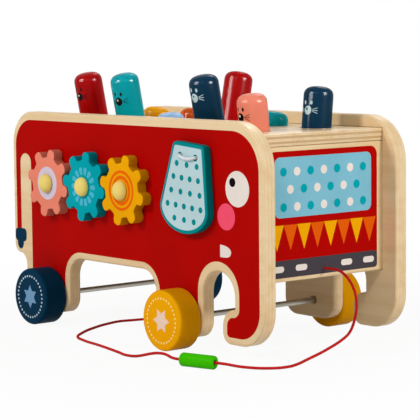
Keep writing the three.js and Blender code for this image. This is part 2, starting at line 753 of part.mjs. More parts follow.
// Pull cord: out of the front panel, down to the floor, through the bead and back past the wheels
const cordZ = bodyZ + cordHoleZ;
const lying = cordDiameter / 2 + 0.2;
const beadZ = beadDiameter / 2;
const beadWay = [Math.cos(rad(beadHeading)), Math.sin(rad(beadHeading))];
const beadEnd = (share) => [
  beadRightEnd[0] + beadWay[0] * beadLength * share,
  beadRightEnd[1] + beadWay[1] * beadLength * share,
  beadZ,
];
const cordStart = endPanelInnerX;
const cordPoints = [
  [cordStart, 0, cordZ],
  [deckFrontX + 2, 0, cordZ],
  [166.5, 0, 63.8],
  [172.6, 0, 61.6],
  [178.5, 0, 57.3],
  [183.2, 0, 51.5],
  [185.8, 0, 45.1],
  [186.5, 0, 39],
  [185.2, 0.2, 31.7],
  [182, -0.7, 21],
  [181.8, -3.8, 17],
  [182, -9.2, 13.9],
  [182, -26.1, 7.7],
  [182, -48.2, 2],
  [188.5, -65, lying],
  [190.6, -74, lying],
  [187.6, -86, lying],
  [177, -106, 3.2],
  beadEnd(-0.25),
  beadEnd(0.25),
  beadEnd(0.75),
  beadEnd(1.25),
  [112, -127.9, 7],
  [104, -128.4, 6.8],
  [96, -128.8, 5.4],
  [88, -129.4, 3.4],
  [82, -130.2, 2],
  [77, -131, lying],
  [70, -132.4, lying],
  [54.3, -128.8, lying],
  [19.7, -121.4, lying],
  [-6.3, -117, lying],
  [-24.4, -110.6, lying],
  [-37.3, -97.3, lying],
  [-52.6, -73.8, lying],
  [-61.9, -52.9, lying],
  [-65.7, -35.9, lying],
  [-63, -25, lying],
  [-55, -16, lying + 1],
  [-45, -8, knotDiameter / 2],
];
const cordSteps = 68;
toy.add(piece('pull_cord', tube(cordDiameter, 8, cordPoints, cordSteps), colours.cordRed, 0.8));

const beadMesh = piece('cord_bead', bead(), colours.green, 0.3);
beadMesh.position.set(...beadEnd(0.5));
beadMesh.rotation.z = rad(beadHeading);
const anchorKnot = piece('cord_anchor_knot', knot(), colours.cordRed, 0.8);
anchorKnot.position.set(endPanelInnerX - seatGap, 0, cordZ);
anchorKnot.rotation.z = Math.PI;
const [beforeLast, last] = cordPoints.slice(-2).map((point) => new THREE.Vector3(...point));
const endWay = last.clone().sub(beforeLast).setZ(0).normalize();
const endKnot = piece('cord_end_knot', knot(), colours.cordRed, 0.8);
endKnot.position.copy(last).addScaledVector(endWay, seatGap * 2);
endKnot.rotation.z = Math.atan2(endWay.y, endWay.x);
toy.add(beadMesh, anchorKnot, endKnot);

export default toy;
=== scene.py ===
"""Dress the wooden elephant pounding toy: painted ply, turned pegs, printed gears, cord and studio."""

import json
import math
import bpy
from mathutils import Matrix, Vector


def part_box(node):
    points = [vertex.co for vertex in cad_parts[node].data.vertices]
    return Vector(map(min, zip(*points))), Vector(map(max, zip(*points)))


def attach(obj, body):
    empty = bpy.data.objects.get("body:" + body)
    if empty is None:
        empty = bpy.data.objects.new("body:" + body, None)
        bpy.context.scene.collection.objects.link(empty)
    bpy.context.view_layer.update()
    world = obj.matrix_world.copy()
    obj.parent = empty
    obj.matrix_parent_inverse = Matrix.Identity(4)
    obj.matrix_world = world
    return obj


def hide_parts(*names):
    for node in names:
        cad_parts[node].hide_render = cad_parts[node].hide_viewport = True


bl_info = {
    "name": "Elephant Pounding Toy",
    "version": (1, 0, 0),
    "blender": (4, 5, 0),
    "location": "View3D > Sidebar > Toy",
    "description": "Builds the looks of a wooden elephant pounding toy on its construction frame",
    "category": "Object",
}

import bpy
from bpy.props import FloatProperty, FloatVectorProperty, IntProperty, PointerProperty
from mathutils import Matrix, Vector

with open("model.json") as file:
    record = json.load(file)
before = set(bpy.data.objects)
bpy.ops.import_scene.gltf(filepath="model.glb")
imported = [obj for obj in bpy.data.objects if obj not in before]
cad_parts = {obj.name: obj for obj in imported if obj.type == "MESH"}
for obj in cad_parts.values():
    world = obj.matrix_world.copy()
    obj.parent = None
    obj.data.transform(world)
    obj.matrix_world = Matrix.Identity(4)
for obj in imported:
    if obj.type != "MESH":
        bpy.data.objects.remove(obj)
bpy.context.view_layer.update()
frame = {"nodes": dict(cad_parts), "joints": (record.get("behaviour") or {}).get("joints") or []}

MM = 0.001
UPWARD = Vector((0, 0, 1))

# Sides of the toy with the sign of their Y
SIDES = {"right": -1, "left": 1}

# Bevel on the ends of axles and pins
CHAMFER = 0.4 * MM

# Camera at the photographed angle
LENS = 157.55
CAMERA_PLACE = (1.18299, -0.97159, 0.24904)
CAMERA_RIGHT = Vector((0.63948, 0.76874, -0.01023))
CAMERA_UP = Vector((-0.06853, 0.07025, 0.99517))

# Lamps by place, aim, width and power; the softboxes only show as reflections on the glossy pieces
LAMPS = {
    "Key": ((-0.35, -1.65, 1.15), (0, 0, 0.1), 0.32, 15.3),
    "Front": ((1.0, -1.4, 1.2), (0.1, 0, 0.1), 0.4, 7.5),
    "Fill": ((1.75, 0.45, 0.9), (0.1, 0, 0.1), 0.32, 15.5),
    "Back": ((-0.9, 1.5, 1.9), (0, 0, 0.1), 0.8, 15),
    "Left softbox": ((-0.35, -1.65, 0.85), (0, 0, 0.15), 1, 170),
    "Right softbox": ((1.75, 0.45, 0.85), (0, 0, 0.15), 0.8, 190),
}

# World as light on the object: strength and tint
AMBIENT = 0.24
AMBIENT_TINT = (1, 0.93, 0.84)
WHITE = (1, 1, 1)

# Height in millimetres of the pull cord's middle where it lies on the floor
LIE = 1.3

# Points of the pull cord in millimetres after its hole; single numbers are shares of the bead's length
CORD_ROUTE = [
    (166.5, 0, 63.8), (172.6, 0, 61.6), (178.5, 0, 57.3), (183.2, 0, 51.5), (185.8, 0, 45.1),
    (186.5, 0, 39), (185.2, 0.2, 31.7), (182, -0.7, 21), (181.8, -3.8, 17), (182, -9.2, 13.9),
    (182, -26.1, 7.7), (182, -48.2, 2), (188.5, -65, LIE), (190.6, -74, LIE), (187.6, -86, LIE),
    (177, -106, 3.2),
    -0.75, -0.25, 0.25, 0.75,
    (112, -127.9, 7), (104, -128.4, 6.8), (96, -128.8, 5.4), (88, -129.4, 3.4), (82, -130.2, 2),
    (77, -131, LIE), (70, -132.4, LIE), (54.3, -128.8, LIE), (19.7, -121.4, LIE), (-6.3, -117, LIE),
    (-24.4, -110.6, LIE), (-37.3, -97.3, LIE), (-52.6, -73.8, LIE), (-61.9, -52.9, LIE),
    (-65.7, -35.9, LIE), (-63, -25, LIE), (-55, -16, LIE + 1), (-45, -8, 4),
]

# Pegs of each row from the rear: paint, turn of the face in degrees and lift of the face in millimetres
PEGS = {
    "right": (
        ("deep_red", -87, 0), ("teal", -76, -3), ("light_blue", -85, 0), ("navy", -88, 2.5),
        ("pink", -95, 1.3)),
    "left": (
        ("yellow", -85, 0), ("orange", -85, 0), ("deep_red", 95, 0), ("teal", -85, 0), ("navy", -84, -1)),
}

# Edges of the rings printed on the outer gears, from the outside in: radius in millimetres and steps
GEAR_RINGS = {"rear": ((14, 48), (5.2, 32)), "front": ((16.4, 56), (14, 56), (12.2, 48), (9.4, 48))}

# Rows of dots on an ear in millimetres: count, spacing, depth below the top and middle
EAR_DOTS = (
    (3, 12.2, 16.9, -0.8), (4, 10.0, 27.6, -1.4), (4, 11.6, 38.6, -1.2), (5, 10.1, 49.6, -2.2),
    (3, 11.9, 60.0, -1.4))


def linear(red, green, blue):
    """Linear colour of an 8-bit display colour."""
    shares = [value / 255 for value in (red, green, blue)]
    return tuple(s / 12.92 if s <= 0.04045 else ((s + 0.055) / 1.055) ** 2.4 for s in shares)


def size(label, millimetres):
    """Length property with its default in millimetres."""
    return FloatProperty(
        name=label, default=millimetres * MM, min=0.0, unit="LENGTH", subtype="DISTANCE", precision=5)


def angle(label, degrees):
    """Angle property with its default in degrees."""
    return FloatProperty(name=label, default=math.radians(degrees), subtype="ANGLE")


def count(label, number):
    """Whole number property."""
    return IntProperty(name=label, default=number, min=1)


def paint(label, red, green, blue):
    """Colour property with its default as an 8-bit display colour."""
    return FloatVectorProperty(
        name=label, default=linear(red, green, blue), min=0.0, max=1.0, size=3, subtype="COLOR")


# Settings


class PanelSettings(bpy.types.PropertyGroup):
    """Outline and print of the elephant side panels, and the deck and ends between them."""

    edge: size("Radius on the edges of the side panels", 1.8)
    trunk_width: size("Width of the trunk", 35)
    trunk_gap: size("Gap between the trunk and the front leg", 37.5)
    front_leg: size("Width of the front leg", 59.5)
    belly_span: size("Gap between the legs", 118.5)
    rear_leg: size("Width of the rear leg", 64.5)
    front_top: size("Radius of the top corner over the trunk", 36.5)
    rear_top: size("Radius of the top corner over the tail", 28)
    trunk_front: size("Radius at the foot of the trunk", 28)
    tip_reach: size("How far the tip of the trunk curls back", 14.5)
    tip_height: size("Height of the trunk's tip above the feet", 27)
    tip_top: size("Radius on top of the trunk's tip", 13)
    tip_bottom: size("Radius under the trunk's tip", 9)
    curl_radius: size("Radius inside the curl of the trunk", 1.5)
    arch_height: size("Height of the trunk gap above the feet", 55)
    belly_height: size("Height of the belly above the feet", 48.2)
    belly_radius: size("Radius of the corners under the belly", 17)
    leg_radius: size("Radius of the corners of the feet", 14)
    tail_height: size("Height of the tail's lower end above the feet", 46.5)
    tail_radius: size("Radius of the tail's lower end", 8)
    axle_hole: size("Diameter of the hole for an axle", 6)
    groove_play: size("Play round the pieces in the grooves", 0.3)
    print_border: size("Bare wood left round the print", 5.8)
    print_top: size("More bare wood along the back", 1.3)
    print_arch: size("More bare wood over the trunk gap", 2)
    print_film: size("Thickness of one printed layer", 0.05)
    slot_front: size("Front of the bare slot beside the tail, from the rear", 27.5)
    slot_back: size("Back of the bare slot beside the tail, from the rear", 11.5)
    slot_top: size("Top of the bare slot above the feet", 134.2)
    tail_print: size("Back of the tail's print, from the rear", 4.75)
    tail_end: size("Lower end of the tail's print above the feet", 65.2)
    plies: count("Layers in the plywood of the side panels", 7)
    deck_edge: size("Radius on the edges of the deck", 0.7)
    end_edge: size("Radius on the edges of the end panels", 0.9)
    corner: size("Radius of the corners of the deck and the end panels", 0.6)
    thin_plies: count("Layers in the plywood of the deck and the end panels", 5)


class PegSettings(bpy.types.PropertyGroup):
    """Pegs that are hammered down."""

    diameter: size("Diameter of a peg", 24)
    length: size("Length of a peg", 72)
    dome: size("Height of the rounded top", 8.5)
    dome_power: FloatProperty(name="How square the rounded top is", default=2.7, min=2.0)
    hole: size("Diameter of a hole in the deck", 27.2)
    row_spacing: size("Distance between the two rows", 65)


class GearSettings(bpy.types.PropertyGroup):
    """Gears on the right side and the pins that hold them."""

    teeth: count("Teeth on each gear", 8)
    centres: size("Distance between neighbouring gears", 52)
    tip: size("Diameter over the teeth", 58.2)
    pressure_angle: angle("Slope of the tooth flanks", 25)
    backlash: size("Play between two teeth", 1.4)
    root_clearance: size("Room between a tip and the root that it enters", 1)
    bore: size("Hole for the pin", 8.8)
    edge: size("Radius on the edges of a gear", 0.4)
    phase: angle("Turn of the outer gears at rest", 31.5)
    petals: count("Petals on the middle gear", 14)
    shank: size("Diameter of a pin", 8)
    cap: size("Diameter of a pin's head", 16)
    cap_rim: size("Radius under the rim of a pin's head", 0.7)
    cap_play: size("Play between a gear and its pin's head", 0.4)


class EarSettings(bpy.types.PropertyGroup):
    """Flapping ears and their cord."""

    thickness: size("Thickness of an ear", 7)
    edge: size("Radius on the edges of an ear", 0.9)
    tilt: angle("Slope of the ear's top edge", 4.5)
    top_width: size("Width of the top edge", 37)
    top_radius: size("Radius of the top corners", 4)
    front_flare: size("Reach towards the trunk", 26.5)
    rear_flare: size("Reach towards the tail", 32.5)
    flare_depth: size("Depth of the widest place below the top", 51)
    length: size("Length of the ear", 71)
    border: size("Width of the painted border", 2.9)
    dot: size("Radius of the printed dots", 2.35)
    hole_spacing: size("Distance between the cord holes", 18.6)
    hole_depth: size("Depth of the cord holes below the top", 10.3)
    hole: size("Diameter of the cord holes", 3.6)
    cord: size("Diameter of the stitched cord", 2.6)
    cord_play: size("Play at the ends of the cord and under it", 0.3)
    stitch_sag: size("Sag of the stitch on the ear", 1.6)
    stitch: size("Length of one stitch", 35)


class WheelSettings(bpy.types.PropertyGroup):
    """Wheels and axles."""

    edge: size("Radius on the rim", 2.4)
    bore: size("Diameter of the axle's hole", 5.1)
    seat_depth: size("Depth of the axle's hole", 16)
    star_points: count("Points of the star", 6)
    star_outer: size("Radius of the star's points", 10.1)
    star_inner: size("Radius of the star's notches", 5.7)
    dot_ring: size("Radius of the ring of dots", 17.6)
    dot: size("Radius of a dot", 0.95)
    dots: count("Dots in the ring", 32)


class CordSettings(bpy.types.PropertyGroup):
    """Pull cord and what is on it."""

    diameter: size("Diameter of the pull cord", 2.2)
    hole: size("Diameter of the hole in the front panel", 4)
    hole_height: size("Height of the hole above the panel's lower edge", 7)
    straight: size("Straight stretch of cord outside the hole", 2)
    bead_diameter: size("Diameter of the bead", 10.4)
    bead_length: size("Length of the bead", 30)
    bead_bore: size("Hole through the bead", 3.8)
    bead_edge: size("Radius on the edges of the bead", 1.6)
    bead_sink: size("Depth of the countersink in the bead", 0.8)
    bead_flare: size("Widening of the countersink in the bead", 0.5)
    bead_heading: angle("Direction of the bead on the floor", 196)
    knot_diameter: size("Diameter of a knot", 8)
    knot_length: size("Length of a knot", 7)
    knot_gap: size("Gap between the cord's end and its knot", 0.6)


class ColourSettings(bpy.types.PropertyGroup):
    """Paints, prints and bare materials."""

    birch: paint("Bare lacquered birch", 236, 210, 168)
    birch_grain: paint("Darker grain of the birch", 217, 182, 130)
    ply_dark: paint("Crosswise layers on a cut edge", 190, 150, 98)
    red: paint("Print of the side panels", 176, 5, 2)
    deep_red: paint("Red pegs", 170, 3, 5)
    teal: paint("Teal paint", 0, 160, 172)
    navy: paint("Navy paint", 6, 50, 76)
    pink: paint("Salmon pink paint", 236, 136, 112)
    yellow: paint("Yellow paint", 240, 168, 4)
    orange: paint("Orange paint", 226, 92, 8)
    light_blue: paint("Light blue paint", 156, 194, 236)
    cream: paint("Pins of the gears", 240, 216, 122)
    green: paint("Bead", 60, 190, 2)
    cord_red: paint("Pull cord", 208, 28, 28)
    white: paint("White print", 234, 224, 216)
    thread: paint("Cord of the ears", 240, 242, 248)
    black: paint("Black print", 14, 12, 14)
    cheek: paint("Cheek of the elephant", 246, 82, 112)
    ear_field: paint("Pale field of the ears", 184, 212, 218)
    ear_dot: paint("Border and dots of the ears", 0, 136, 140)
    sky: paint("Pale blue field of the front", 126, 188, 208)
    slate: paint("Grey band of the front", 70, 66, 72)
    lilac: paint("Ring on the pink gear", 214, 202, 220)
    petal: paint("Petals on the teal gear", 78, 180, 208)
    ring_orange: paint("Rings on the yellow gear", 236, 102, 8)
    star_blue: paint("Star on the navy wheels", 116, 158, 194)
    dot_blue: paint("Dots on the navy wheels", 190, 206, 216)
    star_pink: paint("Star on the yellow wheels", 240, 210, 190)
    dot_cream: paint("Dots on the yellow wheels", 255, 220, 130)
    steel: paint("Axles", 192, 187, 178)


class ToySettings(bpy.types.PropertyGroup):
    """All settings of the toy."""

    panel: PointerProperty(type=PanelSettings)
    peg: PointerProperty(type=PegSettings)
    gear: PointerProperty(type=GearSettings)
    ear: PointerProperty(type=EarSettings)
    wheel: PointerProperty(type=WheelSettings)
    cord: PointerProperty(type=CordSettings)
    colour: PointerProperty(type=ColourSettings)


# What the frame says


def span(node):
    """Lower corner, upper corner, middle and extent of a node's box."""
    low, high = (Vector(corner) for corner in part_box(node))
    return low, high, (low + high) / 2, high - low


def joint(name):
    """Joint of the frame by its name."""
    return next(found for found in frame["joints"] if found["name"] == name)


def peg_column(column):
    """Middle of a column of pegs along X."""
    return span(f"seesaw_{column}")[2].x


# Drawing helpers


def arc(centre_u, centre_v, radius, start, end, steps=12, radius_v=None, power=2.0):
    """Points on a circle or ellipse between two angles in degrees; a power above 2 squares its corner."""
    tall = radius if radius_v is None else radius_v

    def squared(value):
        return math.copysign(abs(value) ** (2 / power), value)

    turns = [math.radians(start + (end - start) * i / steps) for i in range(steps + 1)]
    return [
        (centre_u + radius * squared(math.cos(turn)), centre_v + tall * squared(math.sin(turn)))
        for turn in turns]


def corner(u, v, radius, start, steps=12):
    """Quarter circle from an angle on, in place of the corner at a point."""
    middle = math.radians(start + 45)
    centre_u = u - math.copysign(radius, math.cos(middle))
    centre_v = v - math.copysign(radius, math.sin(middle))
    return arc(centre_u, centre_v, radius, start, start + 90, steps)


def ring(centre_u, centre_v, radius, steps=32, radius_v=None):
    """Points of a whole circle or ellipse, anticlockwise."""
    return arc(centre_u, centre_v, radius, 0, 360, steps, radius_v)[:-1]


def hole(centre_u, centre_v, radius, steps=32):
    """Points of a circle drawn clockwise, for a hole in an outline."""
    return ring(centre_u, centre_v, radius, steps)[::-1]


def rounded_box(low_u, high_u, low_v, high_v, radius, steps=6):
    """Rectangle with round corners, anticlockwise."""
    corners = ((high_u, low_v, -90), (high_u, high_v, 0), (low_u, high_v, 90), (low_u, low_v, 180))
    return [point for u, v, start in corners for point in corner(u, v, radius, start, steps)]


def polar(radius, turn):
    """Point at a radius and an angle."""
    return (radius * math.cos(turn), radius * math.sin(turn))


def star(points, outer, inner, turn):
    """Outline of a star about the origin, anticlockwise, with its first point at an angle in degrees."""
    return [
        polar(inner if i % 2 else outer, math.radians(turn + 180 * i / points)) for i in range(2 * points)]


def curve_between(start, control, end, steps=6):
    """Points of a quadratic curve, without its start."""
    points = []
    for i in range(1, steps + 1):
        t = i / steps
        points.append(tuple(
            (1 - t) ** 2 * a + 2 * t * (1 - t) * b + t * t * c for a, b, c in zip(start, control, end)))
    return points


def tidy(outline):
    """Outline without points that lie on each other."""
    nearest = 0.02 * MM
    kept = []
    for point in outline:
        if not kept or math.dist(point, kept[-1]) > nearest:
            kept.append(point)
    if math.dist(kept[0], kept[-1]) <= nearest:
        kept.pop()
    return kept


def inset(outline, distance):
    """Anticlockwise outline moved inwards by a distance."""
    points = tidy(outline)
    moved = []
    for i, (u, v) in enumerate(points):
        before, after = points[i - 1], points[(i + 1) % len(points)]
        to_here = Vector((u - before[0], v - before[1])).normalized()
        from_here = Vector((after[0] - u, after[1] - v)).normalized()
        inward = Vector((-to_here.y - from_here.y, to_here.x + from_here.x))
        share = distance * 2 / max(inward.length_squared, 0.5)
        moved.append((u + inward.x * share, v + inward.y * share))
    return moved


def mirrored(outline):
    """Outline turned over left to right and kept anticlockwise."""
    return [(-u, v) for u, v in reversed(outline)]


def plane(origin, along_u, along_v):
    """Matrix that lays a drawing on a plane."""
    u, v = Vector(along_u).normalized(), Vector(along_v).normalized()
    matrix = Matrix((u, v, u.cross(v))).transposed().to_4x4()
    matrix.translation = origin
    return matrix


def side_face(sign, x, y, z):
    """Plane seen from the right side with a sign of -1, or from the left with 1; Z is up."""
    return plane((x, y, z), (-sign, 0, 0), UPWARD)


def front_face(x):
    """Plane seen from the front, with Y to the right and Z up."""
    return plane((x, 0, 0), (0, 1, 0), UPWARD)


# Modelling helpers


def configure(thing, **settings):
    """Sets several properties of a thing."""
    for key, value in settings.items():
        setattr(thing, key, value)
    return thing


def activate(piece):
    """Selects one object alone."""
    bpy.ops.object.select_all(action="DESELECT")
    piece.select_set(True)
    bpy.context.view_layer.objects.active = piece


def link(name, data):
    """New object in the scene, selected alone."""
    piece = bpy.data.objects.new(name, data)
    bpy.context.collection.objects.link(piece)
    activate(piece)
    return piece


def clean_mesh(piece, smooth_below=35.0):
    """Merges doubles, turns the faces outwards and smooths the round surfaces."""
    activate(piece)
    bpy.ops.object.mode_set(mode="EDIT")
    bpy.ops.mesh.select_all(action="SELECT")
    bpy.ops.mesh.remove_doubles(threshold=1e-6)
    bpy.ops.mesh.normals_make_consistent(inside=False)
    bpy.ops.object.mode_set(mode="OBJECT")
    bpy.ops.object.shade_smooth_by_angle(angle=math.radians(smooth_below))


def place(piece, matrix):
    """Moves a piece and puts its place into its mesh."""
    activate(piece)
    piece.matrix_world = matrix
    bpy.ops.object.transform_apply(location=True, rotation=True, scale=True)


def flat_piece(name, outlines, depth, edge, matrix, edge_steps=3):
    """Flat piece with round edges from an outline and the holes in it, centred on the drawing plane."""
    curve = configure(
        bpy.data.curves.new(name, "CURVE"), dimensions="2D", fill_mode="BOTH", extrude=depth / 2 - edge,
        bevel_depth=edge, bevel_resolution=edge_steps, offset=-edge)
    for outline in outlines:
        points = tidy(outline)
        spline = curve.splines.new("POLY")
        spline.points.add(len(points) - 1)
        for point, (u, v) in zip(spline.points, points):
            point.co = (u, v, 0.0, 1.0)
        spline.use_cyclic_u = True
    link(name, curve)
    bpy.ops.object.convert(target="MESH")
    piece = bpy.context.object
    place(piece, matrix)
    clean_mesh(piece)
    return piece


def turned_piece(name, profile, matrix, steps=48, smooth_below=35.0):
    """Round piece spun from a profile of radius and height, which is drawn on from a single point."""
    points = [Vector((radius, 0.0, height)) for radius, height in tidy(profile)]
    if profile[0] == profile[-1]:
        points.append(points[0])
    bpy.ops.object.select_all(action="DESELECT")
    bpy.ops.mesh.primitive_plane_add(size=MM, calc_uvs=False)
    piece = bpy.context.object
    piece.name = piece.data.name = name
    bpy.ops.object.mode_set(mode="EDIT")
    bpy.ops.mesh.merge(type="CENTER")
    bpy.ops.transform.translate(value=points[0])
    for start, end in zip(points, points[1:]):
        bpy.ops.mesh.extrude_vertices_move(TRANSFORM_OT_translate={"value": end - start})
    bpy.ops.mesh.select_all(action="SELECT")
    bpy.ops.mesh.spin(steps=steps, angle=2 * math.pi, center=(0, 0, 0), axis=(0, 0, 1))
    bpy.ops.object.mode_set(mode="OBJECT")
    place(piece, matrix)
    clean_mesh(piece, smooth_below)
    return piece


def modify(piece, name, kind, **settings):
    """Puts a modifier on a piece and applies it."""
    activate(piece)
    configure(piece.modifiers.new(name, kind), **settings)
    bpy.ops.object.modifier_apply(modifier=name)


def cut_with_box(piece, centre, extent):
    """Cuts a box out of a piece."""
    bpy.ops.object.select_all(action="DESELECT")
    bpy.ops.mesh.primitive_cube_add(size=1.0, location=centre)
    tool = bpy.context.object
    tool.scale = extent
    modify(piece, "Groove", "BOOLEAN", operation="DIFFERENCE", solver="EXACT", object=tool)
    bpy.data.objects.remove(tool, do_unlink=True)


def cord_curve(name, points, diameter):
    """Round cord on one open smooth spline."""
    curve = configure(
        bpy.data.curves.new(name, "CURVE"), dimensions="3D", resolution_u=8, bevel_depth=diameter / 2,
        bevel_resolution=4, use_fill_caps=True)
    spline = curve.splines.new("BEZIER")
    spline.bezier_points.add(len(points) - 1)
    for knot, point in zip(spline.bezier_points, points):
        knot.co = point
        knot.handle_left_type = knot.handle_right_type = "AUTO"
    return link(name, curve)


def finish_piece(piece, material, body, slot, *nodes):
    """Gives a piece its material, the body that carries it and the nodes that it stands for."""
    piece.data.materials.clear()
    piece.data.materials.append(material)
    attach(piece, body)
    if nodes:
        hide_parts(*nodes)
    return piece


def printed(name, outlines, matrix, layer, ink, body, slot):
    """Thin printed layer on a face, in an ink by its colour; later layers lie on earlier ones."""
    toy = bpy.context.scene.toy
    film = toy.panel.print_film
    lifted = matrix @ Matrix.Translation((0, 0, film * (layer - 0.5)))
    piece = flat_piece(name, outlines, film, 0.0, lifted, edge_steps=0)
    gloss = 0.55 if ink == "red" else 0.5
    finish_piece(piece, painted(f"Print {ink}", getattr(toy.colour, ink), gloss), body, slot)


def glossy_pieces():
    """Collection of the pieces that mirror the softboxes."""
    name = "Glossy pieces"
    return bpy.data.collections.get(name) or bpy.data.collections.new(name)


# Shader helpers


def feed(tree, node, inputs):
    """Links outputs to a node's inputs by name or number, or writes plain values and colours on them."""
    for key, value in inputs.items():
        socket = node.inputs[key]
        if isinstance(value, bpy.types.NodeSocket):
            tree.links.new(value, socket)
        else:
            socket.default_value = (*value, 1.0) if socket.type == "RGBA" else value


def add_node(tree, kind, inputs, **settings):
    """New shader node with its settings and inputs."""
    node = configure(tree.nodes.new(f"ShaderNode{kind}"), **settings)
    feed(tree, node, inputs)
    return node.outputs


def calculate(tree, operation, *values, clamp=False):
    """Maths on one, two or three values."""
    return add_node(tree, "Math", dict(enumerate(values)), operation=operation, use_clamp=clamp)[0]


def product(tree, first, second):
    """Two values multiplied."""
    return calculate(tree, "MULTIPLY", first, second)


def distance(tree, first, second=0.0):
    """How far a value is from another one."""
    return calculate(tree, "ABSOLUTE", calculate(tree, "SUBTRACT", first, second))


def mixed(tree, factor, first, second):
    """Colour mix."""
    return add_node(tree, "Mix", {"Factor": factor, "A": first, "B": second}, data_type="RGBA")["Result"]


def spread(tree, value, low, high, to_low=0.0, to_high=1.0):
    """Value mapped from one range to another."""
    ends = {"From Min": low, "From Max": high, "To Min": to_low, "To Max": to_high}
    return add_node(tree, "MapRange", {"Value": value, **ends}, clamp=True)[0]


def noise(tree, vector, scale, detail=3.0, roughness=0.5):
    """Noise value; three scales stretch it along the axes."""
    if isinstance(scale, tuple):
        vector, scale = add_node(tree, "Mapping", {"Vector": vector, "Scale": scale})[0], 1.0
    inputs = {"Vector": vector, "Scale": scale, "Detail": detail, "Roughness": roughness}
    return add_node(tree, "TexNoise", inputs)["Fac"]


def split(tree, vector):
    """The three parts of a vector."""
    return add_node(tree, "SeparateXYZ", {0: vector})


def shaded(tree, colour, value):
    """Colour made lighter or darker."""
    return add_node(tree, "HueSaturation", {"Color": colour, "Value": value})["Color"]


def bump(tree, height, strength, depth):
    """Normal of a surface with small heights on it."""
    return add_node(tree, "Bump", {"Height": height, "Strength": strength, "Distance": depth})["Normal"]


def seen_rays(tree):
    """One for rays that the camera or a reflection sees, and nought for light on the object."""
    rays = add_node(tree, "LightPath", {})
    mirrored_rays = calculate(tree, "MAXIMUM", rays["Is Glossy Ray"], rays["Is Transmission Ray"])
    return calculate(tree, "MAXIMUM", rays["Is Camera Ray"], mirrored_rays)


GROUPS = {}
SOCKETS = {"Vector": "Vector", "Light": "Color", "Dark": "Color", "Paint": "Color", "Color": "Color"}


def shader_group(name, inputs, outputs):
    """Keeps a recipe under its group's name; it gets the tree and the inputs and returns the outputs."""
    def keep(recipe):
        GROUPS[name] = recipe, {"INPUT": inputs.split(", "), "OUTPUT": outputs.split(", ")}
        return recipe
    return keep


def use_group(tree, name, **values):
    """Outputs of a group in a tree, built on first use, with its inputs fed by name."""
    group = bpy.data.node_groups.get(name)
    if not group:
        recipe, sockets = GROUPS[name]
        group = bpy.data.node_groups.new(name, "ShaderNodeTree")
        for way, labels in sockets.items():
            for label in labels:
                kind = f"NodeSocket{SOCKETS.get(label, 'Float')}"
                group.interface.new_socket(label, in_out=way, socket_type=kind)
        given = group.nodes.new("NodeGroupInput").outputs
        results = dict(enumerate(recipe(group, given)))
        feed(group, group.nodes.new("NodeGroupOutput"), results)
    inputs = {label.replace("_", " "): value for label, value in values.items()}
    return add_node(tree, "Group", inputs, node_tree=group)


@shader_group("Birch Grain", "Vector, Light, Dark", "Color, Height, Roughness")
def birch_grain(tree, given):
    """Long fine grain with pores, drawn along the first axis."""
    figure = noise(tree, given["Vector"], (6, 90, 90), detail=5, roughness=0.55)
    pores = noise(tree, given["Vector"], (60, 900, 900), detail=2)
    broad = noise(tree, given["Vector"], 14, detail=2)
    streaks = spread(tree, figure, 0.42, 0.68, 0, 0.55)
    streaks = calculate(tree, "ADD", streaks, spread(tree, pores, 0.58, 0.75, 0, 0.3))
    strength = calculate(tree, "ADD", streaks, spread(tree, broad, 0.35, 0.75, 0, 0.25), clamp=True)
    colour = mixed(tree, strength, given["Light"], given["Dark"])
    return colour, product(tree, pores, figure), spread(tree, figure, 0.3, 0.7, 0.36, 0.5)


@shader_group("Ply Layers", "Across, Thickness, Plies, Facing, Wobble", "Cross Ply, Glue Line")
def ply_layers(tree, given):
    """Light and dark layers of plywood on a cut edge, by the position across the sheet."""
    share = calculate(tree, "DIVIDE", given["Across"], given["Thickness"])
    wavy = calculate(tree, "MULTIPLY_ADD", given["Wobble"], 0.03, share)
    layer = product(tree, wavy, given["Plies"])
    pair = product(tree, layer, 0.5)
    stripe = spread(tree, distance(tree, calculate(tree, "FRACT", pair), 0.5), 0.22, 0.28, 1, 0)
    line = spread(tree, distance(tree, calculate(tree, "FRACT", layer), 0.5), 0.43, 0.49)
    on_edge = spread(tree, distance(tree, given["Facing"]), 0.5, 0.8, 1, 0)
    return product(tree, stripe, on_edge), product(tree, line, on_edge)


@shader_group("Paint Film", "Vector, Paint, Gloss", "Color, Height, Roughness")
def paint_film(tree, given):
    """Sprayed or printed paint: slightly uneven colour and gloss, with the wood just felt through it."""
    cloud = noise(tree, given["Vector"], 22)
    peel = noise(tree, given["Vector"], 420, detail=2)
    fibre = noise(tree, given["Vector"], (30, 400, 400))
    colour = shaded(tree, given["Paint"], spread(tree, cloud, 0.3, 0.7, 0.95, 1.05))
    rough = calculate(tree, "SUBTRACT", 0.62, product(tree, given["Gloss"], 0.42))
    height = calculate(tree, "MULTIPLY_ADD", fibre, 0.5, peel)
    return colour, height, calculate(tree, "MULTIPLY_ADD", cloud, 0.08, rough)


@shader_group("Printed Disc", "U, V, Centre U, Centre V, Radius U, Radius V", "Mask")
def printed_disc(tree, given):
    """Mask of a printed ellipse."""
    u, v = (
        calculate(
            tree, "DIVIDE", distance(tree, given[way], given[f"Centre {way}"]), given[f"Radius {way}"])
        for way in "UV")
    reach = calculate(tree, "SQRT", calculate(tree, "MULTIPLY_ADD", u, u, product(tree, v, v)))
    return [spread(tree, reach, 0.94, 1.06, 1, 0)]


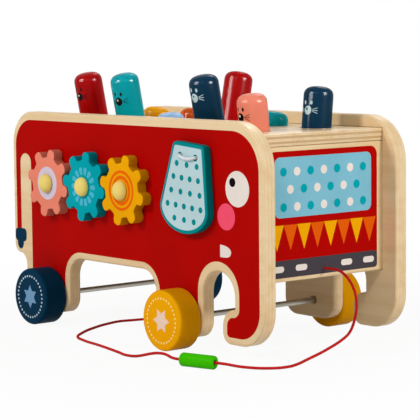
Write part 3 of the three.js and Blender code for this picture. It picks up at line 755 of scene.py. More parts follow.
@shader_group("Whisker", "U, V, Start, End, Height, Slope", "Mask")
def whisker(tree, given):
    """Mask of a thin printed line that leaves the muzzle on both sides."""
    side = distance(tree, given["U"])
    out = calculate(tree, "SUBTRACT", side, given["Start"])
    line = calculate(tree, "MULTIPLY_ADD", out, given["Slope"], given["Height"])
    thin = spread(tree, distance(tree, given["V"], line), 0.2, 0.34, 1, 0)
    begun = spread(tree, out, -0.1, 0.1)
    ended = spread(tree, calculate(tree, "SUBTRACT", side, given["End"]), -0.1, 0.1, 1, 0)
    return [product(tree, thin, product(tree, begun, ended))]


@shader_group("Peg Face", "Vector, Radius", "Ink, Glint")
def peg_face(tree, given):
    """Eyes, nose and whiskers on a peg; the first axis looks out of the face and the third is up."""
    nose_height = -18.8
    place_at = split(tree, given["Vector"])
    turn = calculate(tree, "ARCTAN2", place_at["Y"], place_at["X"])
    u = product(tree, product(tree, turn, given["Radius"]), 1000)
    v = product(tree, place_at["Z"], 1000)

    def disc(along, centre_u, centre_v, radius_u, radius_v):
        return use_group(
            tree, "Printed Disc", U=along, V=v, Centre_U=centre_u, Centre_V=centre_v,
            Radius_U=radius_u, Radius_V=radius_v)["Mask"]

    eyes = disc(distance(tree, u), 3.1, -12.6, 1.05, 1.6)
    ink = calculate(tree, "MAXIMUM", eyes, disc(u, 0, nose_height, 3.5, 3.5))
    for rise, slope in ((0.7, 0.36), (0, 0), (-0.7, -0.36)):
        line = use_group(
            tree, "Whisker", U=u, V=v, Start=4.2, End=8.6, Height=nose_height + rise, Slope=slope)
        ink = calculate(tree, "MAXIMUM", ink, line["Mask"])
    return ink, disc(u, -1, -17.7, 0.95, 0.95)


@shader_group("Braid", "Along, Round, Pitches", "Height, Shade")
def braid(tree, given):
    """Height of a round braid and painted shade on it, darker in the grooves between strands and lighter on
    their crests, from the way along the cord and round it.
    """
    turns = product(tree, given["Along"], given["Pitches"])
    strands = product(tree, given["Round"], 4)
    waves = []
    for way in (1, -1):
        phase = calculate(tree, "MULTIPLY_ADD", strands, way, turns)
        waves.append(calculate(tree, "SINE", product(tree, phase, 2 * math.pi)))
    height = calculate(tree, "MULTIPLY_ADD", *waves, 1)
    # Painted shade: the colour's value runs from 0.72 in the grooves to 1.08 on the crests
    return height, spread(tree, height, 0, 2, 0.72, 1.08)


def new_material(name):
    """Material with its tree, its Principled shader, and the object coordinates and normal of a piece."""
    material = bpy.data.materials.new(name)
    material.use_nodes = True
    tree = material.node_tree
    piece = add_node(tree, "TexCoord", {})
    return material, tree, tree.nodes["Principled BSDF"], piece["Object"], piece["Normal"]


def birch(name, across, centre, thickness, plies, grain="X", layering=0.3, gloss=0.25):
    """Lacquered birch ply: grain on the faces and layers on the cut edges."""
    colours = bpy.context.scene.toy.colour
    material, tree, shader, position, normal = new_material(name)
    turn = {"X": (0, 0, 0), "Y": (0, 0, math.pi / 2)}[grain]
    turned = add_node(tree, "Mapping", {"Vector": position, "Rotation": turn})[0]
    wood = use_group(tree, "Birch Grain", Vector=turned, Light=colours.birch, Dark=colours.birch_grain)
    layers = use_group(
        tree, "Ply Layers", Across=calculate(tree, "SUBTRACT", split(tree, position)[across], centre),
        Thickness=thickness, Plies=plies, Facing=split(tree, normal)[across],
        Wobble=noise(tree, position, 30))
    dark = colours.ply_dark
    striped = mixed(tree, product(tree, layers["Cross Ply"], 0.5 * layering), wood["Color"], dark)
    glue = [c * 0.6 for c in dark]
    feed(tree, shader, {
        "Base Color": mixed(tree, product(tree, layers["Glue Line"], 0.4 * layering), striped, glue),
        "Roughness": product(tree, wood["Roughness"], 1.25 - gloss),
        "Specular IOR Level": gloss,
        "Normal": bump(tree, wood["Height"], 0.12, 0.3 * MM),
    })
    return material


def painted(name, colour, gloss=0.5, painted_side_shade=1.0):
    """Painted or printed wood; a factor below one gives the sides turned away from the printed faces
    painted shade, a deeper colour that stands in for the shade on them.
    """
    if name in bpy.data.materials:
        return bpy.data.materials[name]
    material, tree, shader, position, normal = new_material(name)
    film = use_group(tree, "Paint Film", Vector=position, Paint=colour, Gloss=gloss)
    coat = film["Color"]
    # Painted shade: faces turned away from Y are darkened towards the paint times the factor
    if painted_side_shade < 1.0:
        face = spread(tree, distance(tree, split(tree, normal)["Y"]), 0.3, 0.8)
        coat = mixed(tree, face, [c * painted_side_shade for c in colour], coat)
    feed(tree, shader, {
        "Base Color": coat, "Roughness": film["Roughness"], "Specular IOR Level": 0.015,
        "Normal": bump(tree, film["Height"], 0.06, 0.2 * MM)})
    return material


def painted_peg(name, colour, ink, glint, radius, local):
    """Glossy peg with a printed face."""
    material, tree, shader, position, _ = new_material(name)
    film = use_group(tree, "Paint Film", Vector=position, Paint=colour, Gloss=0.95)
    seat = {"Vector": position, "Location": local.translation, "Rotation": local.to_euler()}
    seated = add_node(tree, "Mapping", seat, vector_type="TEXTURE")[0]
    face = use_group(tree, "Peg Face", Vector=seated, Radius=radius)
    inked = mixed(tree, face["Ink"], film["Color"], ink)
    feed(tree, shader, {
        "Base Color": mixed(tree, face["Glint"], inked, glint), "Roughness": film["Roughness"],
        "Specular IOR Level": 0.02, "Coat Weight": 0.08, "Coat Roughness": 0.1,
        "Normal": bump(tree, film["Height"], 0.02, 0.2 * MM)})
    return material


def drawn_steel(colour):
    """Bright drawn steel rod with fine lines along it."""
    material, tree, shader, position, _ = new_material("Drawn steel")
    lines = noise(tree, position, (900, 14, 900))
    feed(tree, shader, {
        "Base Color": mixed(tree, spread(tree, lines, 0.3, 0.7), colour, [c * 0.7 for c in colour]),
        "Roughness": spread(tree, lines, 0.3, 0.7, 0.42, 0.56), "Metallic": 1,
        "Normal": bump(tree, lines, 0.05, 0.1 * MM)})
    return material


def braided(name, colour, length, diameter):
    """Braided cord, on the cord's own UV map."""
    material, tree, shader, _, _ = new_material(name)
    on_cord = split(tree, add_node(tree, "TexCoord", {})["UV"])
    weave = use_group(
        tree, "Braid", Along=on_cord["X"], Round=on_cord["Y"], Pitches=length / diameter * 0.9)
    # The braid's painted shade darkens the grooves and lightens the crests of the cord's colour
    feed(tree, shader, {
        "Base Color": shaded(tree, colour, weave["Shade"]), "Roughness": 0.7, "Specular IOR Level": 0.15,
        "Normal": bump(tree, weave["Height"], 0.5, 0.3 * MM)})
    return material


# Outlines of the pieces


def elephant_outline(panel, low, high, top_drop=0.0, arch_rise=0.0):
    """Side panel in X and Z, anticlockwise, from the back round the tail, legs and trunk."""
    rear, front = low.x, high.x
    foot, top = low.z, high.z - top_drop
    trunk_back = front - panel.trunk_width
    leg_front = trunk_back - panel.trunk_gap
    leg_back = leg_front - panel.front_leg
    rear_leg_front = leg_back - panel.belly_span
    rear_leg_back = rear_leg_front - panel.rear_leg
    tail = foot + panel.tail_height
    step = rear_leg_back - rear - panel.tail_radius
    leg, belly, curl = panel.leg_radius, panel.belly_radius, panel.curl_radius
    under_belly = foot + panel.belly_height - belly
    tip_back, tip_top = trunk_back - panel.tip_reach, foot + panel.tip_height
    arch = panel.trunk_gap / 2
    arch_top = foot + panel.arch_height + arch_rise
    return (
        corner(rear, top, panel.rear_top, 90, 20)
        + corner(rear, tail, panel.tail_radius, 180, 10)
        + arc(rear_leg_back - step, tail - step, step, 90, 0, 10)
        + corner(rear_leg_back, foot, leg, 180)
        + corner(rear_leg_front, foot, leg, 270)
        + arc(rear_leg_front + belly, under_belly, belly, 180, 90)
        + arc(leg_back - belly, under_belly, belly, 90, 0)
        + corner(leg_back, foot, leg, 180)
        + corner(leg_front, foot, leg, 270)
        + arc(trunk_back - arch, arch_top - arch, arch, 180, 0, 28)
        + arc(trunk_back - curl, tip_top + curl, curl, 0, -90, 8)
        + corner(tip_back, tip_top, panel.tip_top, 90)
        + corner(tip_back, foot, panel.tip_bottom, 180, 10)
        + corner(front, foot, panel.trunk_front, 270, 18)
        + corner(front, top, panel.front_top, 0, 24)
    )


def print_outline(panel, low, high):
    """Red print inside the border, with the slot of bare wood that sets the tail apart."""
    outline = elephant_outline(panel, low, high, panel.print_top, panel.print_arch)
    inner = inset(outline, panel.print_border)
    slot_front, slot_back = low.x + panel.slot_front, low.x + panel.slot_back
    slot = (slot_front - slot_back) / 2
    tail_back, tail_end = low.x + panel.tail_print, low.z + panel.tail_end
    head = [point for point in inner if point[0] > slot_front]
    start = min(range(len(head)), key=lambda i: (head[i][1] > 0.05, head[i][0]))
    head = head[start:] + head[:start]
    return (
        [(slot_front, head[0][1])]
        + head
        + corner(tail_back, head[-1][1], panel.rear_top - panel.tail_print, 90, 14)
        + [(tail_back, tail_end), (slot_back, tail_end)]
        + arc(slot_front - slot, low.z + panel.slot_top - slot, slot, 180, 0, 16)
    )


def gear_outline(gear, phase):
    """Gear with involute flanks, round tips and round roots."""
    pitch = gear.centres / 2
    base = pitch * math.cos(gear.pressure_angle)
    tip = gear.tip / 2
    root = gear.centres - tip - gear.root_clearance
    valley = math.pi / gear.teeth

    def involute(turn):
        return math.tan(turn) - turn

    at_pitch = valley / 2 - gear.backlash / 4 / pitch + involute(gear.pressure_angle)

    def half_angle(radius):
        return at_pitch - involute(math.acos(min(1.0, base / radius)))

    flank_end = (pitch + tip) / 2
    flank = [base + (flank_end - base) * i / 4 for i in range(5)]
    outline = []
    for tooth in range(gear.teeth):
        middle = phase + 2 * valley * tooth
        rising = [polar(r, middle - half_angle(r)) for r in flank]
        falling = [polar(r, middle + half_angle(r)) for r in reversed(flank)]
        top = polar(tip, middle)
        outline += curve_between(
            polar(root, middle - valley), polar(root, middle - half_angle(root)), rising[0])
        outline += rising[1:] + curve_between(rising[-1], polar(tip, middle - half_angle(tip)), top)
        outline += curve_between(top, polar(tip, middle + half_angle(tip)), falling[0]) + falling[1:]
        outline += curve_between(
            falling[-1], polar(root, middle + half_angle(root)), polar(root, middle + valley))
    return outline


def ear_outline(ear):
    """Ear about the middle of its top edge, anticlockwise, with the trunk's side at positive U."""
    half, rounding = ear.top_width / 2, ear.top_radius
    middle = (ear.front_flare - ear.rear_flare) / 2
    bulge = (ear.front_flare + ear.rear_flare) / 2
    left_top, right_top = (rounding - half, 0.0), (half - rounding, 0.0)
    left_side = (-half - rounding * 0.3, -rounding)
    right_side = (half + rounding * 0.15, -rounding)
    return (
        [left_top]
        + curve_between(left_top, (-half, 0.0), left_side)
        + arc(middle, -ear.flare_depth, bulge, 180, 360, 40, ear.length - ear.flare_depth)
        + [right_side]
        + curve_between(right_side, (half, 0.0), right_top)
    )


def ear_dots(ear):
    """Rows of dots on an ear."""
    dots = []
    for number, spacing, depth, middle in EAR_DOTS:
        for i in range(number):
            along = middle + (i - (number - 1) / 2) * spacing
            dots.append(ring(along * MM, -depth * MM, ear.dot, 20))
    return dots


def ear_axes(ear):
    """Directions along the top edge of an ear, towards the trunk, and up the ear."""
    cos, sin = math.cos(ear.tilt), math.sin(ear.tilt)
    return Vector((cos, 0, -sin)), Vector((sin, 0, cos))


def ear_holes(ear):
    """Places of the cord holes behind an ear, in X and Z."""
    hinge = Vector(joint("ear_right_flap")["pos_m"])
    along, up = ear_axes(ear)
    places = [hinge + along * end * ear.hole_spacing - up * ear.hole_depth for end in (-0.5, 0.5)]
    return [(point.x, point.z) for point in places]


# Operators


class Maker:
    """What all operators of the toy share."""

    def execute(self, context):
        self.make(context.scene)
        return {"FINISHED"}


class StageOperator(Maker, bpy.types.Operator):
    """Set the camera, the lamps and the pale floor"""

    bl_idname = "toy.make_stage"
    bl_label = "Stage"

    def make(self, scene):
        scene.view_settings.view_transform = "Standard"
        self.make_camera(scene)
        self.make_lamps(scene)
        self.make_world(scene)
        self.make_floor()

    def make_camera(self, scene):
        """Camera at the photographed angle."""
        data = bpy.data.cameras.new("Camera")
        data.sensor_width, data.lens, data.clip_end = 36.0, LENS, 20.0
        camera = bpy.data.objects.new("Camera", data)
        axes = (CAMERA_RIGHT, CAMERA_UP, CAMERA_RIGHT.cross(CAMERA_UP))
        camera.matrix_world = Matrix(axes).transposed().to_4x4()
        camera.location = CAMERA_PLACE
        scene.collection.objects.link(camera)
        scene.camera = camera

    def make_lamps(self, scene):
        """Four soft lamps and two softboxes."""
        for name, (place_at, aim, width, power) in LAMPS.items():
            data = bpy.data.lights.new(name, "AREA")
            data.size, data.energy = width, power
            lamp = bpy.data.objects.new(name, data)
            lamp.location = place_at
            lamp.rotation_euler = (Vector(aim) - Vector(place_at)).to_track_quat("-Z", "Y").to_euler()
            scene.collection.objects.link(lamp)
            if name.endswith("softbox"):
                lamp.visible_diffuse = False
                lamp.light_linking.receiver_collection = glossy_pieces()

    def make_world(self, scene):
        """World that is white to the camera and in reflections, and softer as light on the object."""
        world = bpy.data.worlds.new("Studio")
        world.use_nodes = True
        scene.world = world
        tree = world.node_tree
        seen = seen_rays(tree)
        feed(tree, tree.nodes["Background"], {
            "Strength": spread(tree, seen, 0, 1, AMBIENT, 1),
            "Color": mixed(tree, seen, AMBIENT_TINT, WHITE)})

    def make_floor(self):
        """White floor that keeps a soft shadow."""
        bpy.ops.object.select_all(action="DESELECT")
        bpy.ops.mesh.primitive_plane_add(size=8.0, location=(0.0, 0.0, 0.0))
        floor = bpy.context.object
        floor.name = "Floor"
        material, tree, shader, position, _ = new_material("Studio floor")
        mottled = spread(tree, noise(tree, position, 3), 0.3, 0.7, 0.74, 0.78)
        tint = add_node(tree, "CombineColor", {channel: mottled for channel in range(3)})[0]
        feed(tree, shader, {"Base Color": tint, "Roughness": 0.8})
        glow = add_node(tree, "Emission", {"Strength": 1})[0]
        reach = add_node(tree, "VectorMath", {0: position}, operation="LENGTH")["Value"]
        white = product(tree, seen_rays(tree), spread(tree, reach, 0.22, 0.55, 0.93, 1))
        mix = add_node(tree, "MixShader", {0: white, 1: shader.outputs[0], 2: glow})[0]
        feed(tree, tree.nodes["Material Output"], {"Surface": mix})
        floor.data.materials.append(material)


class CordOperator(Maker, bpy.types.Operator):
    """Lay the pull cord with its bead and knots"""

    bl_idname = "toy.make_cord"
    bl_label = "Pull cord"

    def make(self, scene):
        settings, colours = scene.toy.cord, scene.toy.colour
        bead_centre = span("cord_bead")[2]
        way = Vector((*polar(1, settings.bead_heading), 0))
        panel_low, panel_high, _, _ = span("front_panel")
        hole_z = (panel_low.z + settings.hole_height) / MM
        outside = (panel_high.x + settings.straight) / MM
        route = [(panel_low.x / MM, 0, hole_z), (outside, 0, hole_z), *CORD_ROUTE]
        points = [
            Vector(p) * MM if isinstance(p, tuple) else bead_centre + way * settings.bead_length * p
            for p in route]
        cord = cord_curve("pull_cord_braid", points, settings.diameter)
        length = cord.data.splines[0].calc_length()
        weave = braided("Braided red cord", colours.cord_red, length, settings.diameter)
        bead = self.make_bead(settings, colours, bead_centre, way)
        end_way = ((points[-1] - points[-2]) * Vector((1, 1, 0))).normalized()
        end_face = points[-1] + end_way * settings.knot_gap
        end_knot = self.make_knot("cord_end_knot", settings, end_face, end_way, weave)
        anchor_face = Vector((span("cord_anchor_knot")[1].x, 0, points[0].z))
        self.make_knot("cord_anchor_knot", settings, anchor_face, Vector((-1, 0, 0)), weave)
        finish_piece(cord, weave, "body", "cord_red", "pull_cord")

    def make_bead(self, settings, colours, centre, way):
        """Turned bead with a soft edge and a countersunk hole."""
        outer, inner, half = settings.bead_diameter / 2, settings.bead_bore / 2, settings.bead_length / 2
        edge, sunk, flared = settings.bead_edge, half - settings.bead_sink, inner + settings.bead_flare
        profile = [(inner, -sunk), (flared, -half)]
        profile += corner(outer, -half, edge, -90, 6) + corner(outer, half, edge, 0, 6)
        profile += [(flared, half), (inner, sunk), (inner, -sunk)]
        seat = plane(centre, UPWARD.cross(way), UPWARD)
        bead = turned_piece("cord_bead_turned", profile, seat, steps=40)
        coat = painted("Bead green", colours.green, gloss=0.9)
        return finish_piece(bead, coat, "body", "bead_green", "cord_bead")

    def make_knot(self, node, settings, face, way, weave):
        """Knot of three turns of cord, with one face at a point."""
        outer, length, core = settings.knot_diameter / 2, settings.knot_length, settings.diameter * 0.4
        turn, narrow = length / 6, outer * 0.86
        profile = [(0.0, 0.0), (core, 0.0)]
        for i, reach in enumerate((narrow, outer, narrow)):
            profile += arc(reach - turn, turn * (2 * i + 1), turn, -80, 80, 6)
        profile += [(core, length), (0.0, length)]
        seat = plane(face, UPWARD.cross(way), UPWARD)
        knot = turned_piece(f"{node}_braid", profile, seat, steps=24, smooth_below=60.0)
        return finish_piece(knot, weave, "body", "cord_red", node)


class PanelOperator(Maker, bpy.types.Operator):
    """Model the elephant side panels and print them"""

    bl_idname = "toy.make_panels"
    bl_label = "Side panels"

    def make(self, scene):
        toy = scene.toy
        for side, sign in SIDES.items():
            node = f"side_panel_{side}"
            low, high, middle, extent = span(node)
            axles = [span(axle)[2] for axle in ("axle_front", "axle_rear")]
            outlines = [elephant_outline(toy.panel, low, high)]
            outlines += [hole(axle.x, axle.z, toy.panel.axle_hole / 2) for axle in axles]
            outlines += [hole(x, z, toy.ear.hole / 2, 16) for x, z in ear_holes(toy.ear)]
            centre = side_face(-1, 0, middle.y, 0)
            panel = flat_piece(f"{node}_ply", outlines, extent.y, toy.panel.edge, centre, edge_steps=4)
            for fitted in ("deck", "front_panel", "rear_panel"):
                _, _, seat, room = span(fitted)
                cut_with_box(panel, seat, room + Vector((2, 2, 2)) * toy.panel.groove_play)
            modify(panel, "Flat faces", "WEIGHTED_NORMAL", keep_sharp=True)
            wood = birch(f"Birch panel {side}", "Y", middle.y, extent.y, toy.panel.plies)
            finish_piece(panel, wood, "body", "bare_wood", node)
            self.print_elephant(toy.panel, side, sign, low, high)

    def print_elephant(self, panel, side, sign, low, high):
        """Red body, eye, cheek, tusk and the tuft of the tail."""
        face = side_face(sign, 0, low.y if sign < 0 else high.y, 0)

        def at(edge, ahead, up):
            return (edge.x + ahead * MM, low.z + up * MM)

        tusk = [at(high, -50.9, 66.6), at(high, -44.7, 66.6)]
        tusk += curve_between(tusk[-1], at(high, -38.1, 66.8), at(high, -38.1, 71.2))
        tusk += curve_between(tusk[-1], at(high, -38.9, 75.6), at(high, -50.9, 76.2), 8)
        (tuft_back, tuft_low), (tuft_front, tuft_high) = at(low, 1.8, 56.8), at(low, 18.8, 68.2)
        for part, outline, layer, ink in (
            ("body", print_outline(panel, low, high), 1, "red"),
            ("eye", ring(*at(high, -30.3, 119.8), 13.7 * MM, 48), 2, "white"),
            ("pupil", ring(*at(high, -35.9, 124.6), 3.5 * MM, 28), 3, "black"),
            ("cheek", ring(*at(high, -43.5, 97.9), 10.3 * MM, 40), 2, "cheek"),
            ("tusk", tusk, 2, "white"),
            ("tuft", rounded_box(tuft_back, tuft_front, tuft_low, tuft_high, 4 * MM), 2, "navy"),
            ("tuft_tip", ring(*at(low, 9.6, 55.6), 4.6 * MM, 24, 5.6 * MM), 3, "navy"),
        ):
            drawn = outline if sign < 0 else mirrored(outline)
            printed(f"print_{side}_{part}", [drawn], face, layer, ink, "body", "print_red")


class DeckOperator(Maker, bpy.types.Operator):
    """Model the deck and the end panels, and print the front"""

    bl_idname = "toy.make_deck"
    bl_label = "Deck and ends"

    def make(self, scene):
        toy = scene.toy
        panel = toy.panel
        low, high, middle, extent = span("deck")
        outlines = [rounded_box(low.x, high.x, low.y, high.y, panel.corner, 2)]
        for column in range(1, 6):
            for sign in SIDES.values():
                row = sign * toy.peg.row_spacing / 2
                outlines.append(hole(peg_column(column), row, toy.peg.hole / 2, 48))
        level = plane((0, 0, middle.z), (1, 0, 0), (0, 1, 0))
        deck = flat_piece("deck_ply", outlines, extent.z, panel.deck_edge, level)
        wood = birch("Birch deck", "Z", middle.z, extent.z, panel.thin_plies, layering=1.5, gloss=0.65)
        finish_piece(deck, wood, "body", "bare_wood", "deck")
        hole_z = span("front_panel")[0].z + toy.cord.hole_height
        self.make_end(panel, "front_panel", [hole(0.0, hole_z, toy.cord.hole / 2, 24)])
        self.make_end(panel, "rear_panel", [])
        self.print_front()

    def make_end(self, panel, node, holes):
        """End panel between the sides."""
        low, high, middle, extent = span(node)
        outline = rounded_box(low.y, high.y, low.z, high.z, panel.corner, 2)
        end = flat_piece(f"{node}_ply", [outline, *holes], extent.x, panel.end_edge, front_face(middle.x))
        wood = birch(f"Birch {node}", "X", middle.x, extent.x, panel.thin_plies, "Y")
        finish_piece(end, wood, "body", "bare_wood", node)

    def print_front(self):
        """Bands, dots and zigzag flags in the colours of the toy, drawn in millimetres."""
        low, high, _, _ = span("front_panel")
        bottom, top = low.z / MM, high.z / MM
        half, pitch = 57.5, 14
        window = half - 6.5
        flag_top, flag_tip = bottom + 43.5, bottom + 24
        flags = []
        for i in range(8):
            left = -half + 1.5 + i * pitch
            flags.append([(left, flag_top), (left + pitch / 2, flag_tip), (left + pitch, flag_top)])
        white_dots, teal_dots = [], []
        for row in range(3):
            for i in range(7):
                along = (i - 3) * pitch + (pitch / 2 if row % 2 else 0)
                if abs(along) < half - 12:
                    spots = white_dots if (i + row) % 2 else teal_dots
                    spots.append(ring(along, bottom + 57 + row * 13.5, 3.4, 24))
        dashes = [rounded_box(u - 6, u + 6, bottom + 7.4, bottom + 12.2, 2.3) for u in (-48, -24, 24, 48)]
        for part, outlines, layer, ink in (
            ("field", [rounded_box(-half, half, bottom + 3, top - 3.5, 7)], 1, "red"),
            ("band", [rounded_box(-half, half, bottom + 3, bottom + 16.5, 3)], 2, "slate"),
            ("dashes", dashes, 3, "white"),
            ("sky", [rounded_box(-window, window, bottom + 49, top - 8, 5)], 2, "sky"),
            ("white_dots", white_dots, 3, "white"),
            ("teal_dots", teal_dots, 3, "teal"),
            ("yellow_flags", flags[0::2], 2, "yellow"),
            ("orange_flags", flags[1::2], 2, "orange"),
        ):
            drawn = [[(u * MM, v * MM) for u, v in outline] for outline in outlines]
            printed(f"print_front_{part}", drawn, front_face(high.x), layer, ink, "body", "print_red")


class PegOperator(Maker, bpy.types.Operator):
    """Turn the pegs and print their faces"""

    bl_idname = "toy.make_pegs"
    bl_label = "Pegs"

    def make(self, scene):
        settings, colours = scene.toy.peg, scene.toy.colour
        radius = settings.diameter / 2
        profile = arc(0.0, radius - settings.length, radius, -90, 0)
        profile += arc(
            0.0, -settings.dome, radius, 0, 90, 20, radius_v=settings.dome, power=settings.dome_power)
        for side, sign in SIDES.items():
            for column, (shade, turn, lift) in enumerate(PEGS[side], start=1):
                node = f"peg_{side}_{column}"
                seat = self.seat(settings, node, column, sign)
                facing = Matrix.Rotation(math.radians(turn), 4, "Z") @ Matrix.Translation((0, 0, lift * MM))
                dark = shade == "navy"
                material = painted_peg(
                    f"Gloss {node}", getattr(colours, shade), colours.ear_field if dark else colours.black,
                    colours.navy if dark else colours.white, radius, seat @ facing)
                peg = turned_piece(f"{node}_turned", profile, seat)
                slot = "peg_red" if shade == "deep_red" else f"peg_{shade}"
                finish_piece(peg, material, node, slot, node)
                glossy_pieces().objects.link(peg)

    def seat(self, settings, node, column, sign):
        """Matrix at the top of a peg, with the third axis along it, from its slide and its foot."""
        up = Vector(joint(f"{node}_slide")["axis"]).normalized()
        through = Vector((peg_column(column), sign * settings.row_spacing / 2, span("deck")[2].z))
        rise = (span(node)[0].z - through.z) / up.z + settings.length
        forward = Vector((1, 0, 0))
        return plane(through + up * rise, forward, up.cross(forward))


class GearOperator(Maker, bpy.types.Operator):
    """Cut the gears, print them and turn their pins"""

    bl_idname = "toy.make_gears"
    bl_label = "Gears"

    def make(self, scene):
        settings, colours = scene.toy.gear, scene.toy.colour
        meshed = 3 * math.pi / settings.teeth - settings.phase
        for position, shade, phase, ink in (
            ("rear", "pink", settings.phase, "lilac"),
            ("middle", "teal", meshed, "petal"),
            ("front", "yellow", settings.phase, "ring_orange"),
        ):
            node, slot = f"gear_{position}", f"gear_{shade}"
            x, _, z = joint(f"{node}_spin")["pos_m"]
            low, _, middle, extent = span(node)
            outlines = [gear_outline(settings, phase), hole(0.0, 0.0, settings.bore / 2)]
            centre = side_face(-1, x, middle.y, z)
            gear = flat_piece(f"{node}_cut", outlines, extent.y, settings.edge, centre)
            # Painted shade: the gears' sides are darkened to 0.65 of the paint
            coat = painted(f"Gear {shade}", getattr(colours, shade), painted_side_shade=0.65)
            finish_piece(gear, coat, node, slot, node)
            face = side_face(-1, x, low.y, z)
            printed(f"print_{node}", self.gear_print(settings, position), face, 1, ink, node, slot)
            self.make_pin(settings, colours, f"gear_pin_{position}", x, z, low.y)

    def gear_print(self, settings, position):
        """Ring on the rear gear, petals on the middle one and two rings on the front one."""
        if position in GEAR_RINGS:
            draw = (ring, hole)
            edges = enumerate(GEAR_RINGS[position])
            return [draw[i % 2](0.0, 0.0, radius * MM, steps) for i, (radius, steps) in edges]
        root, half_root = 10.0 * MM, 1.3 * MM
        tip = arc(14.4 * MM, 0.0, 1.9 * MM, -80, 80, 8, radius_v=2.2 * MM)
        petal = [(root, -half_root), *tip, (root, half_root)]
        turns = [Matrix.Rotation(2 * math.pi * i / settings.petals, 2) for i in range(settings.petals)]
        return [[tuple(turn @ Vector(point)) for point in petal] for turn in turns]

    def make_pin(self, settings, colours, node, x, z, gear_front):
        """Mushroom-headed pin."""
        _, high, _, extent = span(node)
        shank, cap, rim = settings.shank / 2, settings.cap / 2, settings.cap_rim
        neck = high.y - gear_front + settings.cap_play
        profile = [(0.0, 0.0), (shank - CHAMFER, 0.0), (shank, CHAMFER), (shank, neck)]
        profile += corner(cap, neck, rim, -90, 4)
        profile += arc(0.0, neck + rim, cap, 0, 90, 16, radius_v=extent.y - neck - rim)
        pin = turned_piece(f"{node}_turned", profile, side_face(-1, x, high.y, z), steps=40)
        finish_piece(pin, painted("Pin cream", colours.cream, gloss=0.6), "body", "cap_cream", node)


class EarOperator(Maker, bpy.types.Operator):
    """Cut the ears, print them and stitch them on"""

    bl_idname = "toy.make_ears"
    bl_label = "Ears"

    def make(self, scene):
        settings, colours = scene.toy.ear, scene.toy.colour
        thread = braided("Braided white cord", colours.thread, settings.stitch, settings.cord)
        # Painted shade: the ears' sides are darkened to 0.7 of the paint
        coat = painted("Ear teal", colours.ear_dot, gloss=0.55, painted_side_shade=0.7)
        along, up = ear_axes(settings)
        thickness = settings.thickness

        def holes(radius):
            ends = (-settings.hole_spacing / 2, settings.hole_spacing / 2)
            return [hole(end, -settings.hole_depth, radius, 20) for end in ends]

        for side, sign in SIDES.items():
            node = f"ear_{side}"
            origin = Vector(joint(f"{node}_flap")["pos_m"])
            face = plane(origin, along * -sign, up)
            outline, dots = ear_outline(settings), ear_dots(settings)
            if sign > 0:
                outline, dots = mirrored(outline), [mirrored(dot) for dot in dots]
            middle, front = (
                face @ Matrix.Translation((0, 0, depth)) for depth in (thickness / 2, thickness))
            outlines = [outline, *holes(settings.hole / 2)]
            ear = flat_piece(f"{node}_cut", outlines, thickness, settings.edge, middle)
            finish_piece(ear, coat, node, "ear_blue", node)
            field = [inset(outline, settings.border), *holes(settings.hole / 2 + settings.edge)]
            printed(f"print_{node}_field", field, front, 1, "ear_field", node, "ear_blue")
            printed(f"print_{node}_dots", dots, front, 2, "ear_dot", node, "ear_blue")
            low, high, _, extent = span(f"side_panel_{side}")
            outward = Vector((0, sign, 0))
            inside = Vector((origin.x, high.y if sign < 0 else low.y, origin.z))
            outside = origin + outward * thickness
            for stitched, start, out, depth, sag, body in (
                (f"ear_stitch_{side}", outside, outward, thickness, settings.stitch_sag, node),
                (f"ear_loop_{side}", inside, -outward, extent.y, 0.0, "body"),
            ):
                shape = self.stitch(settings, depth - settings.cord_play, sag)
                points = [start + along * u + up * (v - settings.hole_depth) + out * w for u, v, w in shape]
                cord = cord_curve(f"{stitched}_braid", points, settings.cord)
                finish_piece(cord, thread, body, "cord_white", stitched)

    def stitch(self, settings, leg, sag):
        """Points of a cord down two holes with a slack bridge between them on the face."""
        half, bend = settings.hole_spacing / 2, settings.cord
        over = settings.cord / 2 + settings.cord_play
        start = [
            (-half, 0.0, -leg), (-half, 0.0, -bend), (-half + bend * 0.25, 0.0, over * 0.75),
            (-half + bend, -sag * 0.4, over * 1.1)]
        return start + [(0.0, -sag, over)] + [(-u, v, w) for u, v, w in reversed(start)]


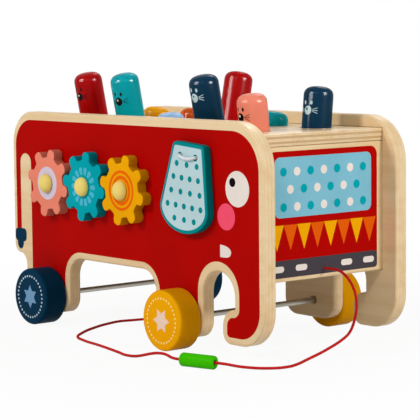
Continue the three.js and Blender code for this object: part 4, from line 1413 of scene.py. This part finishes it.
class WheelOperator(Maker, bpy.types.Operator):
    """Turn the wheels and axles, and print the wheels"""

    bl_idname = "toy.make_wheels"
    bl_label = "Wheels"

    def make(self, scene):
        settings, colours = scene.toy.wheel, scene.toy.colour
        steel = drawn_steel(colours.steel)
        for wheelset, shade, star_ink, dot_ink, turn in (
            ("front", "yellow", "star_pink", "dot_cream", 0), ("rear", "navy", "star_blue", "dot_blue", 90),
        ):
            body, slot, axle = f"wheelset_{wheelset}", f"wheel_{shade}", f"axle_{wheelset}"
            centre = Vector(joint(f"{body}_spin")["pos_m"])
            half = span(axle)[3] / 2
            end, thin = half.y - CHAMFER, half.z - CHAMFER
            profile = [(0.0, -half.y), (thin, -half.y), (half.z, -end)]
            profile += [(half.z, end), (thin, half.y), (0.0, half.y)]
            rod = turned_piece(f"{axle}_rod", profile, side_face(-1, *centre), steps=32)
            finish_piece(rod, steel, body, "axle_steel", axle)
            # Painted shade: the wheels' treads are darkened to 0.82 of the paint
            coat = painted(f"Wheel {shade}", getattr(colours, shade), gloss=0.55, painted_side_shade=0.82)
            points = star(settings.star_points, settings.star_outer, settings.star_inner, turn)
            around = [2 * math.pi * i / settings.dots for i in range(settings.dots)]
            dots = [ring(*polar(settings.dot_ring, spot), settings.dot, 12) for spot in around]
            for side, sign in SIDES.items():
                node = f"wheel_{wheelset}_{side}"
                low, high, _, extent = span(node)
                face = side_face(sign, centre.x, low.y if sign < 0 else high.y, centre.z)
                profile = self.profile(settings, centre.z, extent.y)
                wheel = turned_piece(f"{node}_turned", profile, face, steps=72)
                finish_piece(wheel, coat, body, slot, node)
                printed(f"print_{node}_star", [points], face, 1, star_ink, body, slot)
                printed(f"print_{node}_dots", dots, face, 1, dot_ink, body, slot)

    def profile(self, settings, radius, width):
        """Profile of a wheel with a round rim and a blind hole, from its outer face inwards."""
        bore, floor, edge = settings.bore / 2, settings.seat_depth - width, settings.edge
        seat = [(0.0, floor), (bore, floor), (bore, -width)]
        return seat + corner(radius, -width, edge, -90, 8) + corner(radius, 0.0, edge, 0, 8) + [(0.0, 0.0)]


class MechanismOperator(Maker, bpy.types.Operator):
    """Give the see-saws, rod, spacers and stop pins their wood"""

    bl_idname = "toy.finish_mechanism"
    bl_label = "Mechanism"

    def make(self, scene):
        rod_z = span("seesaw_rod")[0].z
        wood = birch("Birch mechanism", across="X", centre=0.0, thickness=24 * MM, plies=1, grain="Y")
        dowel = birch("Birch dowel", across="Z", centre=rod_z, thickness=40 * MM, plies=1)
        for name, node in frame["nodes"].items():
            if name.startswith(("seesaw_rod", "rod_spacer", "stop_pin")):
                self.coat(node, dowel)
            elif name.startswith("seesaw_"):
                self.coat(node, wood)

    def coat(self, node, material):
        """Puts one material on a node."""
        if not node.material_slots:
            node.data.materials.append(material)
        for slot in node.material_slots:
            slot.material = material


class ToyPanel(bpy.types.Panel):
    """Sidebar panel with the toy's operators"""

    bl_idname = "VIEW3D_PT_toy"
    bl_label = "Pounding toy"
    bl_space_type = "VIEW_3D"
    bl_region_type = "UI"
    bl_category = "Toy"

    def draw(self, context):
        for operator in OPERATORS:
            self.layout.operator(operator.bl_idname)


SETTINGS = (
    PanelSettings, PegSettings, GearSettings, EarSettings, WheelSettings, CordSettings, ColourSettings,
    ToySettings)
OPERATORS = (
    StageOperator, CordOperator, PanelOperator, DeckOperator, PegOperator, GearOperator, EarOperator,
    WheelOperator, MechanismOperator)


def register():
    for cls in (*SETTINGS, *OPERATORS, ToyPanel):
        bpy.utils.register_class(cls)
    bpy.types.Scene.toy = PointerProperty(type=ToySettings)


def unregister():
    del bpy.types.Scene.toy
    for cls in reversed((*SETTINGS, *OPERATORS, ToyPanel)):
        bpy.utils.unregister_class(cls)


def main():
    register()
    bpy.ops.toy.make_stage()
    bpy.ops.toy.make_cord()
    bpy.ops.toy.make_panels()
    bpy.ops.toy.make_deck()
    bpy.ops.toy.make_pegs()
    bpy.ops.toy.make_gears()
    bpy.ops.toy.make_ears()
    bpy.ops.toy.make_wheels()
    bpy.ops.toy.finish_mechanism()


if __name__ == "__main__":
    main()
